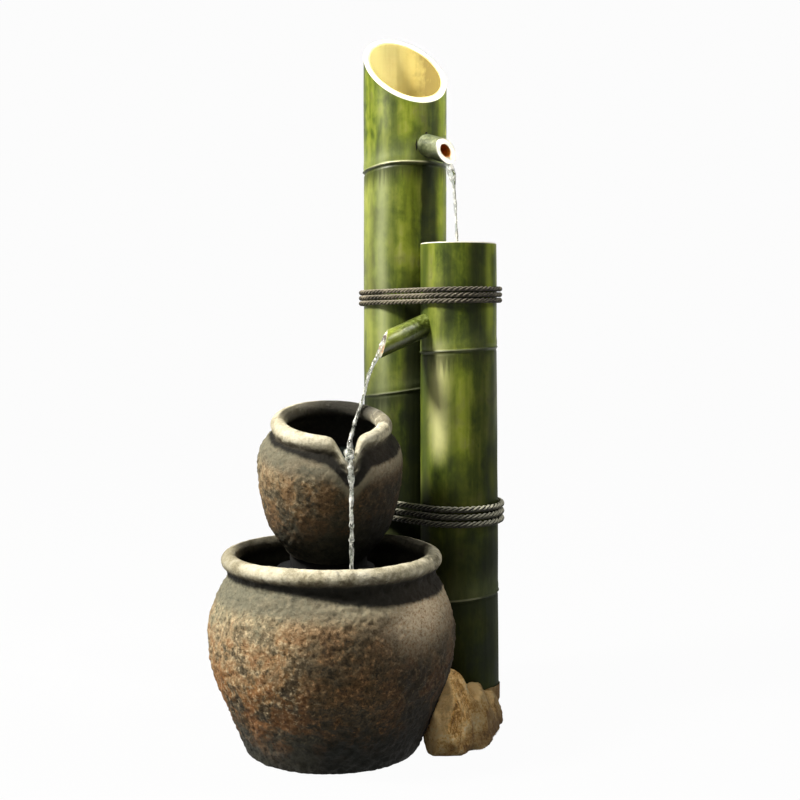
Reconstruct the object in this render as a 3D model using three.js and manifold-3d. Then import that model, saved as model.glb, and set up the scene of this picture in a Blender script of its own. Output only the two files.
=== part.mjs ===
// A garden water feature of bamboo and stoneware: a pump in the large jar lifts water up the tall
// culm to its spout; it falls into the short culm, then into the tilted small jar, and from the
// small jar's lip back into the large one. Millimetres, +Z up, origin under the large jar's centre,
// front towards -Y.

import * as THREE from "three";
import { mergeVertices } from "three/addons/utils/BufferGeometryUtils.js";
import Module from "manifold-3d";

const wasm = await Module();
wasm.setup();

// Clearances and cutting allowances.
const GAP = 0.3; // between pieces that touch
const OVERRUN = 5; // how far a cutter passes the face that it opens
const MERGE = 0.0005; // vertices nearer than this are one

const ROLL_STEPS = 7; // of a jar rim's roll

// Large jar, turned about the origin.
const LARGE_JAR_H = 216.2;
const LARGE_JAR_BELLY_R = 134.5;
const LARGE_JAR_WALL = 8;
const LARGE_JAR_FLOOR = 10;
const LARGE_NECK_R = 112.8;
const LARGE_NECK_H = 12;
const LARGE_RIM_R = 110.5;
const LARGE_RIM_ROLL_R = 9.2;
const LARGE_JAR_SIDES = 34;
// Foot to shoulder: radius as a share of the belly's, height as a share of the shoulder's.
const LARGE_BODY_SHARES = [
  [0.695, 0], [0.71, 0.015], [0.818, 0.205], [0.883, 0.33], [0.967, 0.465],
  [1, 0.645], [0.981, 0.796], [0.933, 0.89], [0.88, 0.97],
];

// Small jar, turned about its own axis and tipped towards its pouring lip.
const SMALL_JAR_BASE = [-5.5, 35.5, 213];
const SMALL_JAR_TILT_DEG = 14.5;
const SMALL_JAR_FACING_DEG = -81; // which way it tips
const SMALL_JAR_TURN_DEG = 11; // of its lip from that way
const SMALL_JAR_H = 151.7;
const SMALL_JAR_BELLY_R = 79.4;
const SMALL_JAR_WALL = 7;
const SMALL_JAR_FLOOR = 9;
const SMALL_NECK_R = 62.5;
const SMALL_NECK_H = 4;
const SMALL_RIM_R = 57;
const SMALL_RIM_ROLL_R = 8.7;
const SMALL_JAR_SIDES = 34;
const SMALL_BODY_SHARES = [
  [0.57, 0], [0.585, 0.02], [0.765, 0.18], [0.87, 0.331], [0.96, 0.53],
  [1, 0.73], [0.99, 0.83], [0.94, 0.915], [0.83, 0.99],
];
const LIP_HALF_DEG = 26;
const LIP_REACH = 12;
const LIP_DROP = 13;
const LIP_START = 32; // below the rim's top, where the clay starts to be drawn out
const LIP_END = 8; // below the rim's top, where it is fully drawn out
const LIP_SHARPNESS = 1.4;
const LIP_DRIP = [8, 9, 15]; // half sizes of the drip under the lip: outwards, across and up
const LIP_DRIP_DROP = 21; // of its middle below the rim's top

// Tall culm.
const TALL_STANDOFF = 16.2; // from the large jar's belly, on the pipe's way out of the jar
const TALL_R = 50;
const TALL_WALL = 7.3;
const CUT_Z = 764; // height of the slanting cut on the culm's axis
const CUT_SLOPE_DEG = 42.4;
const CUT_FACING_DEG = -69.1;
const TALL_NODE_ZS = [118, 380, 649];
const TALL_NODE_LEANS_DEG = [0, 9, 0]; // each ring's lean towards +X
const TALL_TOP_NODE_DROOP = 8; // how far the top ring droops on its -X side

// Short culm, which leans a little as it rises.
const SHORT_TOP_Z = 552;
const SHORT_FOOT_LEAN = [3.5, 2]; // how far the foot lies from the top, in X and Y
const SHORT_JAR_STANDOFF = 1.9; // of its foot from the large jar's belly
const SHORT_TALL_STANDOFF = 1.4; // and from the tall culm
const SHORT_TOP_R = 43.9;
const SHORT_FOOT_R = 46.2;
const SHORT_WALL = 7;
const SHORT_NODE_ZS = [144, 430];
const SHORT_NODE_LEANS_DEG = [5.7, 3.8];
const VENT_R = 3;

// Node rings and the diaphragms inside them.
const CULM_SIDES = 24;
const RING_RISE = 1.7;
const RING_REACH = 9; // half of the swelling's height
const RING_SHARES = [[-1, 0], [-0.3, 0.35], [-0.08, 1], [0.08, 0.9], [0.16, 0.2], [1, 0]];
const DIAPHRAGM = 4;

// Spouts.
const SPOUT_SIDES = 16;
const UPPER_SPOUT_R = 13.5;
const UPPER_BORE_R = 7;
const UPPER_SPOUT_Z = 681; // where its axis crosses the culm's
const UPPER_SPOUT_FACING_DEG = -57.7;
const UPPER_SPOUT_FALL_DEG = 14.8;
const UPPER_SPOUT_REACH = 90.5; // from the culm's axis to the middle of the cut face
const UPPER_SPOUT_CUT_DEG = [-57.7, 25]; // which way the cut faces, and how far up
const UPPER_SPOUT_INSET = 10; // how far it stands inside the culm
const LOWER_SPOUT_Z = 457.6;
const LOWER_SPOUT_SIDE_DEG = 203.5; // where its root lies round the short culm
const LOWER_SPOUT_SINK = 0.8; // of its root behind the culm's skin
const LOWER_SPOUT_R = 13;
const LOWER_BORE_R = 9.5;
const LOWER_SPOUT_FACING_DEG = 218;
const LOWER_SPOUT_FALL_DEG = 19;
const LOWER_SPOUT_REACH = 62;
const LOWER_SPOUT_CUT_DEG = [188, 17];
const LOWER_SPOUT_INSET = 17;
const GROMMET_WALL = 2;
const GROMMET_INSIDE = 3; // how far a grommet stands inside its culm

// Rope lashings.
const ROPE_TURNS = 3;
const ROPE_SIDES = 6;
const ARC_STEPS = 10;
const STRAIGHT_STEPS = 2;
const UPPER_ROPE_R = 3;
const UPPER_ROPE_PITCH = 6.5;
const UPPER_ROPE_Z = 481.2; // of the rope's lower end
const LOWER_ROPE_R = 3.7;
const LOWER_ROPE_PITCH = 8.7;
const LOWER_ROPE_Z = 226;
const KNOT_LENGTH = 22;
const KNOT_THICK = 12;
const KNOT_MARGIN = 3;
const KNOT_BULGE_SHARES = [1, 1.5, 1.15]; // of the knot's half sizes, before its ends are cut flat

// Rock base: a slab under both culms' feet, with lumps of rock at its front and side.
const SLAB_H = 16;
const SLAB_TALL_R = 46;
const SLAB_SHORT_R = 40;
const ROCK_GAP = 0.8;
const ROCK_SPREAD = 100;
const ROCK_RELIEF = 2; // height of the rock's bumps
const ROCK_WAVE = 19; // length of the rock's bumps, over 2 pi
const ROCK_CUT_SHARE = 4; // reach of the cutters round the rock, as a share of its spread
// Each lump's middle and half sizes, as shares of the rock's spread.
const ROCK_LUMP_SHARES = [
  { at: [1.25, 0.12, 0.2], half: [0.31, 0.54, 0.54], detail: 3 },
  { at: [1.54, 0.44, 0.08], half: [0.3, 0.42, 0.4], detail: 3 },
  { at: [1.66, 0.96, 0.02], half: [0.19, 0.5, 0.22], detail: 2 },
  { at: [0.62, 1.86, 0], half: [0.52, 0.58, 0.18], detail: 2 },
  { at: [1.28, 1.96, 0], half: [0.46, 0.44, 0.17], detail: 2 },
];
// How fast each layer of bumps runs, and how far the layer before it sways it.
const ROCK_BUMP_SHARES = [[1, 1.7], [1.3, 1.1], [1.5, 0.8]];

// Plugs and their screws.
const PLUG_H = 30;
const PLUG_CLEARANCE = 0.5;
const SCREW_R = 2.2;
const SCREW_HEAD_R = 4.5;
const SCREW_HEAD_H = 3;
const SCREW_GRIP = 18; // how far a screw enters its plug
const SCREW_SPREAD = 22;

// Stand inside the large jar.
const STAND_X = -8;
const STAND_Y = 28;
const PLATE_R = 54;
const PLATE_TOP_Z = 192;
const PLATE_THICK = 8;
const LEG_R = 6;
const LEG_WALL = 1.6;
const LEG_RING_R = 44;
const LEG_ANGLES_DEG = [110, 230, 350];
const LEG_SOCKET = 4;
const STAND_FOOT_R = 9;
const STAND_FOOT_H = 8;
const WEDGE_R = 43;

// Pump, with its shaft along Y and its inlet towards -Y.
const PUMP_X = 0;
const PUMP_Y = -34;
const PUMP_W = 44;
const PUMP_D = 46;
const PUMP_H = 44;
const PUMP_CORNER_R = 6;
const CHAMBER_R = 17;
const CHAMBER_D = 9;
const ROTOR_BORE_R = 10;
const ROTOR_BORE_D = 24;
const COVER_SEAT_R = 19;
const COVER_THICK = 3.4;
const ROTOR_R = 9;
const BLADES = 4;
const BLADE_R = 15;
const BLADE_L = 5.5;
const BLADE_THICK = 2;
const HUB_R = 5;
const SHAFT_R = 1.3;
const SHAFT_CLEARANCE = 0.35;
const BUSH_R = 4;
const BUSH_L = 3;
const INLET_RING_R = 10;
const INLET_R = 2.6;
const INLETS = 6;
const INTAKE_D = 15;
const INTAKE_WALL = 2;
const SLOTS = 7;
const SLOT_W = 2.2;
const SLOT_SHARE = 0.66; // of the cover's height
const SPONGE_D = 6;
const DIAL_R = 8;
const DIAL_THICK = 2.4;
const DIAL_BAR = 2.2;
const DIAL_BAR_SHARE = 0.9; // of the dial's radius
const DIAL_PIN_R = 2;
const SUCTION_FOOT_R = 6;
const SUCTION_FOOT_H = 8;
const SUCTION_CUP_SHARE = 0.75; // radius of the hollow under a foot, as a share of the foot's
const SUCTION_NECK_SHARE = 1.3; // of the stem's radius
const SUCTION_STEM_R = 2.5;
const SUCTION_STEM_H = 3;
const OUTLET_R = 8;
const OUTLET_BORE_R = 5.5;
const OUTLET_H = 22;
const OUTLET_SEAT = 4;
const OUTLET_BACK = 13; // of the pump's front face
const CABLE_GLAND_R = 5;
const CABLE_GLAND_L = 9;
const CABLE_R = 2.6;

// Pipework from the jar's wall to the upper spout.
const HOSE_SIDES = 10;
const HOSE_R = 10.5;
const HOSE_BORE_R = 8.7;
const STUB_R = 8; // of the rigid stubs that the hoses go over
const STUB_BORE_R = 5.5;
const HOSE_GRIP = 13; // of hose over a stub
const BEND_R = 19;
const PIPE_Z = 62;
const PIPE_FACING_DEG = 66.45;
const PAD_R = 21;
const SPOTFACE_R = 19;
const PAD_RISE_IN = 6; // of the pad from the jar's wall, inside
const PAD_RISE_OUT = 3; // and outside
const CONNECTOR_R = 10;
const FLANGE_R = 16;
const FLANGE_THICK = 4;
const GASKET_THICK = 3;
const NUT_R = 16;
const NUT_THICK = 7;
const NUT_SIDES = 6;
const INNER_STUB = 16; // the connector's reach past its flange, into the jar
const OUTER_STUB = 16; // and past its nut
const CLAMP_SIDES = 16;
const CLAMP_THICK = 1.2;
const CLAMP_W = 7;
const CLAMP_LUG = [5, 6];
const HOSE_RISE = 24; // of the pump hose above the outlet's top
const SPOUT_STUB_R = 6.6;
const SPOUT_STUB_BORE_R = 4.6;
const JAR_GLAND_Z = 122;
const JAR_GLAND_FACING_DEG = 116;
const JAR_GLAND_R = 8;
const JAR_GLAND_FLANGE_R = 11;
const JAR_GLAND_FLANGE = 2.5;
const JAR_GLAND_FACE_R = 13;
const JAR_GLAND_FACE_DEPTH = 1.6;

const rad = THREE.MathUtils.degToRad;
const smooth = THREE.MathUtils.smoothstep;
const Z_AXIS = new THREE.Vector3(0, 0, 1);

// Shapes: each returns a closed geometry about +Z, with its faces out.

function turned(outline, sides) {
  const points = outline.map(([r, z]) => new THREE.Vector2(r, z));
  return new THREE.LatheGeometry(points, sides).rotateX(Math.PI / 2);
}

function rod(radius, low, high, sides = 20) {
  const made = new THREE.CylinderGeometry(radius, radius, high - low, sides);
  return made.rotateX(Math.PI / 2).translate(0, 0, (low + high) / 2);
}

function ring(outer, inner, low, high, sides = 20) {
  return turned([[inner, low], [outer, low], [outer, high], [inner, high], [inner, low]], sides);
}

function block(low, high) {
  const [w, d, h] = low.map((value, axis) => high[axis] - value);
  const [x, y, z] = low.map((value, axis) => (high[axis] + value) / 2);
  return new THREE.BoxGeometry(w, d, h).translate(x, y, z);
}

// A tube or a bar along straight runs with a round bend at each corner.
function bent(points, bendR, outer, bore, steps, sides = HOSE_SIDES) {
  const path = new THREE.CurvePath();
  let from = points[0];
  for (let i = 1; i < points.length - 1; i += 1) {
    const into = points[i - 1].clone().sub(points[i]).setLength(bendR).add(points[i]);
    const away = points[i + 1].clone().sub(points[i]).setLength(bendR).add(points[i]);
    path.add(new THREE.LineCurve3(from, into));
    path.add(new THREE.QuadraticBezierCurve3(into, points[i], away));
    from = away;
  }
  path.add(new THREE.LineCurve3(from, points[points.length - 1]));
  const section = new THREE.Shape().absarc(0, 0, outer, 0, 2 * Math.PI);
  if (bore) section.holes.push(new THREE.Path().absarc(0, 0, bore, 0, 2 * Math.PI, true));
  return new THREE.ExtrudeGeometry(section, {
    steps, extrudePath: path, curveSegments: sides / 2, bevelEnabled: false,
  });
}

// Solids, for joining and cutting.

function solid(geometry, place) {
  const bare = new THREE.BufferGeometry();
  bare.setAttribute("position", geometry.getAttribute("position").clone());
  if (geometry.index) bare.setIndex(geometry.index.clone());
  if (place) bare.applyMatrix4(place);
  const merged = mergeVertices(bare, MERGE);
  const vertProperties = merged.getAttribute("position").array;
  const triVerts = new Uint32Array(merged.index.array);
  return new wasm.Manifold(new wasm.Mesh({ numProp: 3, vertProperties, triVerts }));
}

function join(first, ...others) {
  return others.reduce((made, other) => made.add(other), first);
}

function cut(first, ...tools) {
  return tools.reduce((made, tool) => made.subtract(tool), first);
}

function geometryOf(made) {
  const { vertProperties, triVerts } = made.getMesh();
  const geometry = new THREE.BufferGeometry();
  geometry.setAttribute("position", new THREE.BufferAttribute(vertProperties, 3));
  geometry.setIndex(new THREE.BufferAttribute(triVerts, 1));
  geometry.computeVertexNormals();
  return geometry;
}

function moved(geometry, change) {
  const position = geometry.getAttribute("position");
  const point = new THREE.Vector3();
  for (let i = 0; i < position.count; i += 1) {
    point.fromBufferAttribute(position, i);
    change(point);
    position.setXYZ(i, point.x, point.y, point.z);
  }
  return geometry;
}

// Materials.

function finish(color, roughness, metalness = 0) {
  return new THREE.MeshStandardMaterial({ color, roughness, metalness });
}

const stoneware = finish(0x8a6a48, 0.85);
const bamboo = finish(0x7d8a25, 0.42);
const spoutBamboo = finish(0x8f9440, 0.45);
const rope = finish(0x8e8672, 0.9);
const rock = finish(0xb98f5a, 0.9);
const plugWood = finish(0x8c6b3f, 0.8);
const steel = finish(0xb9bcbd, 0.3, 1);
const blackPlastic = finish(0x17181a, 0.5);
const greyPlastic = finish(0x55585a, 0.5);
const rubber = finish(0x1c1c1c, 0.8);
const clearVinyl = finish(0xc9d0cc, 0.25);
const sponge = finish(0x2c2f31, 0.95);
const ceramic = finish(0xe9e6dd, 0.3);
const magnet = finish(0x3a3a3d, 0.6);

const fountain = new THREE.Group();
const groups = {};
for (const name of ["jars", "culms", "lashings", "base", "stand", "pump", "pipework"]) {
  groups[name] = new THREE.Group();
  fountain.add(groups[name]);
}

function piece(group, name, shape, material, place) {
  const geometry = shape.isBufferGeometry ? shape : geometryOf(shape);
  const mesh = new THREE.Mesh(geometry, material);
  mesh.name = name;
  if (place) mesh.applyMatrix4(place);
  group.add(mesh);
  return mesh;
}

// Places: a frame whose +Z leaves a point in a given direction.

function frameAt(x, y, z, facingDeg, fallDeg = 0) {
  const turn = new THREE.Matrix4().makeRotationZ(rad(facingDeg));
  const tip = new THREE.Matrix4().makeRotationY(rad(90 + fallDeg));
  return new THREE.Matrix4().makeTranslation(x, y, z).multiply(turn).multiply(tip);
}

const polar = (deg, reach, [x, y] = [0, 0]) => [
  x + reach * Math.cos(rad(deg)),
  y + reach * Math.sin(rad(deg)),
];

// The tall culm stands on the pipe's way out of the large jar, and the short one's foot stands at
// its two standoffs from the jar and from the tall culm.
const culmWay = LARGE_JAR_BELLY_R + TALL_STANDOFF + TALL_R;
const shortWay = LARGE_JAR_BELLY_R + SHORT_JAR_STANDOFF + SHORT_FOOT_R;
const culmsApart = TALL_R + SHORT_TALL_STANDOFF + SHORT_FOOT_R;
const betweenCulms = Math.acos(
  (culmWay ** 2 + shortWay ** 2 - culmsApart ** 2) / (2 * culmWay * shortWay),
);
const tallAt = polar(PIPE_FACING_DEG, culmWay);
const shortFoot = polar(PIPE_FACING_DEG - THREE.MathUtils.radToDeg(betweenCulms), shortWay);
const shortRadiusAt = (z) => SHORT_FOOT_R + ((SHORT_TOP_R - SHORT_FOOT_R) * z) / SHORT_TOP_Z;
const shortCentreAt = (z) =>
  SHORT_FOOT_LEAN.map((lean, axis) => shortFoot[axis] - (lean * z) / SHORT_TOP_Z);

const upperSpoutFrame = frameAt(
  ...tallAt, UPPER_SPOUT_Z, UPPER_SPOUT_FACING_DEG, UPPER_SPOUT_FALL_DEG,
);
const lowerSpoutRoot = polar(
  LOWER_SPOUT_SIDE_DEG, shortRadiusAt(LOWER_SPOUT_Z) - LOWER_SPOUT_SINK, shortCentreAt(LOWER_SPOUT_Z),
);
const lowerSpoutFrame = frameAt(
  ...lowerSpoutRoot, LOWER_SPOUT_Z, LOWER_SPOUT_FACING_DEG, LOWER_SPOUT_FALL_DEG,
);
const pipeFrame = frameAt(0, 0, PIPE_Z, PIPE_FACING_DEG);
const jarGlandFrame = frameAt(0, 0, JAR_GLAND_Z, JAR_GLAND_FACING_DEG);
const smallJarFrame = new THREE.Matrix4()
  .makeTranslation(...SMALL_JAR_BASE)
  .multiply(new THREE.Matrix4().makeRotationZ(rad(SMALL_JAR_FACING_DEG)))
  .multiply(new THREE.Matrix4().makeRotationY(rad(SMALL_JAR_TILT_DEG)));

// Jars.

// A jar's whole outline: foot, body, neck, rolled rim and the inside back to the floor.
function jarOutline({ height, bellyR, wall, floor, neckR, neckH, rimR, rollR, shares }) {
  const neckTop = height - rollR - Math.sqrt(rollR ** 2 - (neckR - rimR) ** 2);
  const shoulder = neckTop - neckH;
  const body = shares.map(([r, z]) => [r * bellyR, z * shoulder]);
  const outside = [...body, [neckR, shoulder + neckH / 4], [neckR, neckTop]];
  const from = -Math.acos((neckR - rimR) / rollR);
  const to = 2 * Math.PI - Math.acos((neckR - wall - rimR) / rollR);
  const roll = [];
  for (let i = 1; i <= ROLL_STEPS; i += 1) {
    const angle = from + ((to - from) * i) / ROLL_STEPS;
    roll.push([rimR + rollR * Math.cos(angle), height - rollR + rollR * Math.sin(angle)]);
  }
  const above = body.filter(([, z], i) => z > floor + wall / 2 && i % 2 === 0);
  const footInside = above[0][0] - 2 * wall;
  const inside = [...above.map(([r, z]) => [r - wall, z]).reverse(), [footInside, floor]];
  return [[0, 0], ...outside, ...roll, [neckR - wall, shoulder + neckH / 2], ...inside, [0, floor]];
}

const largeJarSolid = solid(
  turned(
    jarOutline({
      height: LARGE_JAR_H, bellyR: LARGE_JAR_BELLY_R, wall: LARGE_JAR_WALL, floor: LARGE_JAR_FLOOR,
      neckR: LARGE_NECK_R, neckH: LARGE_NECK_H, rimR: LARGE_RIM_R, rollR: LARGE_RIM_ROLL_R,
      shares: LARGE_BODY_SHARES,
    }),
    LARGE_JAR_SIDES,
  ),
);
const largeShoulder =
  LARGE_JAR_H -
  LARGE_RIM_ROLL_R -
  Math.sqrt(LARGE_RIM_ROLL_R ** 2 - (LARGE_NECK_R - LARGE_RIM_R) ** 2) -
  LARGE_NECK_H;
function largeJarRadiusAt(z) {
  const skin = LARGE_BODY_SHARES.map(([r, h]) => [r * LARGE_JAR_BELLY_R, h * largeShoulder]);
  const above = skin.findIndex(([, h]) => h > z);
  const [[r0, z0], [r1, z1]] = skin.slice(above - 1, above + 1);
  return r0 + ((r1 - r0) * (z - z0)) / (z1 - z0);
}
const padOuter = largeJarRadiusAt(PIPE_Z) + PAD_RISE_OUT;
const padInner = largeJarRadiusAt(PIPE_Z) - LARGE_JAR_WALL - PAD_RISE_IN;
const glandFace = LARGE_JAR_BELLY_R - JAR_GLAND_FACE_DEPTH;
const glandInside = LARGE_JAR_BELLY_R - LARGE_JAR_WALL;
piece(
  groups.jars,
  "large_jar",
  cut(
    join(largeJarSolid, solid(rod(PAD_R, padInner, padOuter), pipeFrame)),
    solid(rod(SPOTFACE_R, padOuter, padOuter + 4 * OVERRUN), pipeFrame),
    solid(rod(SPOTFACE_R, padInner - 4 * OVERRUN, padInner), pipeFrame),
    solid(rod(CONNECTOR_R + GAP, padInner - OVERRUN, padOuter + OVERRUN), pipeFrame),
    solid(rod(JAR_GLAND_FACE_R, glandFace, glandFace + OVERRUN), jarGlandFrame),
    solid(rod(JAR_GLAND_R + GAP, glandInside - 2 * OVERRUN, glandFace + OVERRUN), jarGlandFrame),
  ),
  stoneware,
);

// The small jar's rim is drawn out and down into a pouring lip on its local +X side.
function pullLip(point) {
  const angle = Math.abs(Math.atan2(point.y, point.x));
  const spread = Math.max(0, 1 - angle / rad(LIP_HALF_DEG)) ** LIP_SHARPNESS;
  const rise = smooth(point.z, SMALL_JAR_H - LIP_START, SMALL_JAR_H - LIP_END);
  const r = Math.hypot(point.x, point.y);
  if (r === 0) return;
  const pull = 1 + (LIP_REACH * spread * rise) / r;
  point.set(point.x * pull, point.y * pull, point.z - LIP_DROP * spread * rise);
}

const smallJar = turned(
  jarOutline({
    height: SMALL_JAR_H, bellyR: SMALL_JAR_BELLY_R, wall: SMALL_JAR_WALL, floor: SMALL_JAR_FLOOR,
    neckR: SMALL_NECK_R, neckH: SMALL_NECK_H, rimR: SMALL_RIM_R, rollR: SMALL_RIM_ROLL_R,
    shares: SMALL_BODY_SHARES,
  }),
  SMALL_JAR_SIDES,
);
const drip = new THREE.SphereGeometry(1, 12, 8)
  .scale(...LIP_DRIP)
  .translate(SMALL_RIM_R + LIP_REACH, 0, SMALL_JAR_H - LIP_DRIP_DROP);
piece(
  groups.jars,
  "small_jar",
  join(solid(moved(smallJar, pullLip)), solid(drip)),
  stoneware,
  smallJarFrame.clone().multiply(new THREE.Matrix4().makeRotationZ(rad(SMALL_JAR_TURN_DEG))),
);

// Culms.

// The ring's outline round each node, from below it to above it.
function ringOutline(radiusAt, z) {
  return RING_SHARES.map(([dz, dr]) => [radiusAt(z) + dr * RING_RISE, z + dz * RING_REACH]);
}

// One culm, from its foot to above its top, hollow between its diaphragms, standing on +Z.
function culm({ footZ, topZ, radiusAt, wall, nodeZs, leansDeg, droop }) {
  const outline = [[0, footZ], [radiusAt(footZ), footZ]];
  for (const z of nodeZs) outline.push(...ringOutline(radiusAt, z));
  outline.push([radiusAt(topZ), topZ], [0, topZ]);
  const shape = moved(turned(outline, CULM_SIDES), (point) => {
    nodeZs.forEach((z, i) => {
      if (Math.abs(point.z - z) > RING_REACH + GAP) return;
      const sag = i === nodeZs.length - 1 ? droop * Math.max(0, -point.x / radiusAt(z)) ** 2 : 0;
      point.z += Math.tan(rad(leansDeg[i])) * point.x - sag;
    });
  });
  const levels = [footZ - OVERRUN, ...nodeZs, topZ + OVERRUN];
  const hollows = levels.slice(1).map((high, i) => {
    const low = i === 0 ? levels[0] : levels[i] + DIAPHRAGM / 2;
    const top = i === nodeZs.length ? high : high - DIAPHRAGM / 2;
    return solid(
      turned([[0, low], [radiusAt(low) - wall, low], [radiusAt(top) - wall, top], [0, top]], CULM_SIDES),
    );
  });
  return cut(solid(shape), ...hollows);
}

const footZ = SLAB_H + GAP;
const tallFrame = new THREE.Matrix4().makeTranslation(...tallAt, 0);
const tallBack = tallFrame.clone().invert();
const cutTop = CUT_Z + TALL_R * 2;
const slant = new THREE.Matrix4()
  .makeTranslation(0, 0, CUT_Z)
  .multiply(new THREE.Matrix4().makeRotationZ(rad(CUT_FACING_DEG)))
  .multiply(new THREE.Matrix4().makeRotationY(rad(CUT_SLOPE_DEG)));
const waste = 4 * TALL_R;
const riserHoleR = HOSE_R + 2 * GAP;
const grommetHole = (held) => held + GROMMET_WALL + 2 * GAP;
piece(
  groups.culms,
  "tall_culm",
  cut(
    culm({
      footZ, topZ: cutTop, radiusAt: () => TALL_R, wall: TALL_WALL, nodeZs: TALL_NODE_ZS,
      leansDeg: TALL_NODE_LEANS_DEG, droop: TALL_TOP_NODE_DROOP,
    }),
    solid(block([-waste, -waste, 0], [waste, waste, waste]), slant),
    solid(rod(riserHoleR, TALL_NODE_ZS[0] - OVERRUN, TALL_NODE_ZS[2] + OVERRUN)),
    solid(
      rod(grommetHole(UPPER_SPOUT_R), TALL_R / 2, TALL_R + 2 * OVERRUN),
      tallBack.clone().multiply(upperSpoutFrame),
    ),
    solid(
      rod(grommetHole(HOSE_R), culmWay - TALL_R - 2 * OVERRUN, culmWay - TALL_R / 2),
      tallBack.clone().multiply(pipeFrame),
    ),
  ),
  bamboo,
  tallFrame,
);

// The lean slides each level sideways, so that its rings stay level.
const shortFrame = new THREE.Matrix4().set(
  1, 0, -SHORT_FOOT_LEAN[0] / SHORT_TOP_Z, shortFoot[0],
  0, 1, -SHORT_FOOT_LEAN[1] / SHORT_TOP_Z, shortFoot[1],
  0, 0, 1, 0,
  0, 0, 0, 1,
);
piece(
  groups.culms,
  "short_culm",
  cut(
    solid(
      geometryOf(
        culm({
          footZ, topZ: SHORT_TOP_Z, radiusAt: shortRadiusAt, wall: SHORT_WALL, nodeZs: SHORT_NODE_ZS,
          leansDeg: SHORT_NODE_LEANS_DEG, droop: 0,
        }),
      ),
      shortFrame,
    ),
    solid(rod(grommetHole(LOWER_SPOUT_R), -LOWER_SPOUT_INSET - 2 * OVERRUN, 4 * OVERRUN), lowerSpoutFrame),
    solid(rod(VENT_R, SHORT_NODE_ZS[0] - OVERRUN, SHORT_NODE_ZS[0] + OVERRUN), shortFrame),
  ),
  bamboo,
);

// Spouts: a cane with its end cut on the slant. The cut has its own facing, apart from the cane's.

function cane({ outer, bore, from, reach, cutDeg, frame }) {
  const middle = new THREE.Vector3(0, 0, reach).applyMatrix4(frame);
  const [facing, rise] = cutDeg;
  const slope = frameAt(middle.x, middle.y, middle.z, facing, -rise);
  const over = reach + 2 * outer;
  return cut(
    solid(ring(outer, bore, from, over, SPOUT_SIDES)),
    solid(block([-over, -over, 0], [over, over, over]), frame.clone().invert().multiply(slope)),
  );
}

const upperSpoutFrom = TALL_R - TALL_WALL - UPPER_SPOUT_INSET;
const spouts = {
  upper_spout: {
    outer: UPPER_SPOUT_R, bore: UPPER_BORE_R, from: upperSpoutFrom, reach: UPPER_SPOUT_REACH,
    cutDeg: UPPER_SPOUT_CUT_DEG, frame: upperSpoutFrame,
  },
  lower_spout: {
    outer: LOWER_SPOUT_R, bore: LOWER_BORE_R, from: -LOWER_SPOUT_INSET, reach: LOWER_SPOUT_REACH,
    cutDeg: LOWER_SPOUT_CUT_DEG, frame: lowerSpoutFrame,
  },
};
for (const [name, spout] of Object.entries(spouts)) {
  piece(groups.culms, name, cane(spout), spoutBamboo, spout.frame);
}

// A grommet is a sleeve cut flush with its culm outside and left a little proud inside.
function grommet(inner, frame, from, to, skin, core) {
  const sleeve = solid(ring(inner + GROMMET_WALL, inner, from, to, SPOUT_SIDES), frame);
  return cut(sleeve.intersect(skin), core);
}

const tallSkin = (r) => solid(rod(r, 0, cutTop, CULM_SIDES), tallFrame);
const shortLevel = (r, z) => [shortRadiusAt(z) + r, z];
const shortSkin = (r) => {
  const outline = [[0, 0], shortLevel(r, 0), shortLevel(r, SHORT_TOP_Z), [0, SHORT_TOP_Z]];
  return solid(turned(outline, CULM_SIDES), shortFrame);
};
piece(
  groups.culms,
  "upper_spout_grommet",
  grommet(
    UPPER_SPOUT_R + GAP, upperSpoutFrame, upperSpoutFrom, TALL_R + 2 * OVERRUN,
    tallSkin(TALL_R), tallSkin(TALL_R - TALL_WALL - GROMMET_INSIDE),
  ),
  rubber,
);
piece(
  groups.culms,
  "lower_spout_grommet",
  grommet(
    LOWER_SPOUT_R + GAP, lowerSpoutFrame, -LOWER_SPOUT_INSET, 2 * OVERRUN,
    shortSkin(0), shortSkin(-SHORT_WALL - GROMMET_INSIDE),
  ),
  rubber,
);

// Rope lashings: each is one rope wound round both culms, with both ends in a knot behind.

// The round outline about both culms at one height, walked anticlockwise from the middle of its
// straight run on the right-hand back. Each point has its place, its outward side and its share
// of the way round.
function bandAround(tallR, shortR, z) {
  const [shortX, shortY] = shortCentreAt(z);
  const [tallX, tallY] = tallAt;
  const apart = Math.hypot(shortX - tallX, shortY - tallY);
  const facing = Math.atan2(shortY - tallY, shortX - tallX);
  const lean = Math.acos((tallR - shortR) / apart);
  const straight = apart * Math.sin(lean);
  const wraps = [
    { x: tallX, y: tallY, r: tallR, from: facing + lean, span: 2 * (Math.PI - lean) },
    { x: shortX, y: shortY, r: shortR, from: facing - lean, span: 2 * lean },
  ];
  const around = 2 * straight + wraps[0].r * wraps[0].span + wraps[1].r * wraps[1].span;
  const points = [];
  let way = straight / 2;
  for (const wrap of wraps) {
    for (let i = 0; i <= ARC_STEPS; i += 1) {
      const angle = wrap.from + (wrap.span * i) / ARC_STEPS;
      const out = new THREE.Vector3(Math.cos(angle), Math.sin(angle), 0);
      const at = new THREE.Vector3(wrap.x, wrap.y, 0).addScaledVector(out, wrap.r);
      points.push({ at, out, share: (way + (wrap.r * wrap.span * i) / ARC_STEPS) / around });
    }
    way += wrap.r * wrap.span + straight;
  }
  return { points, around };
}

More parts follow.
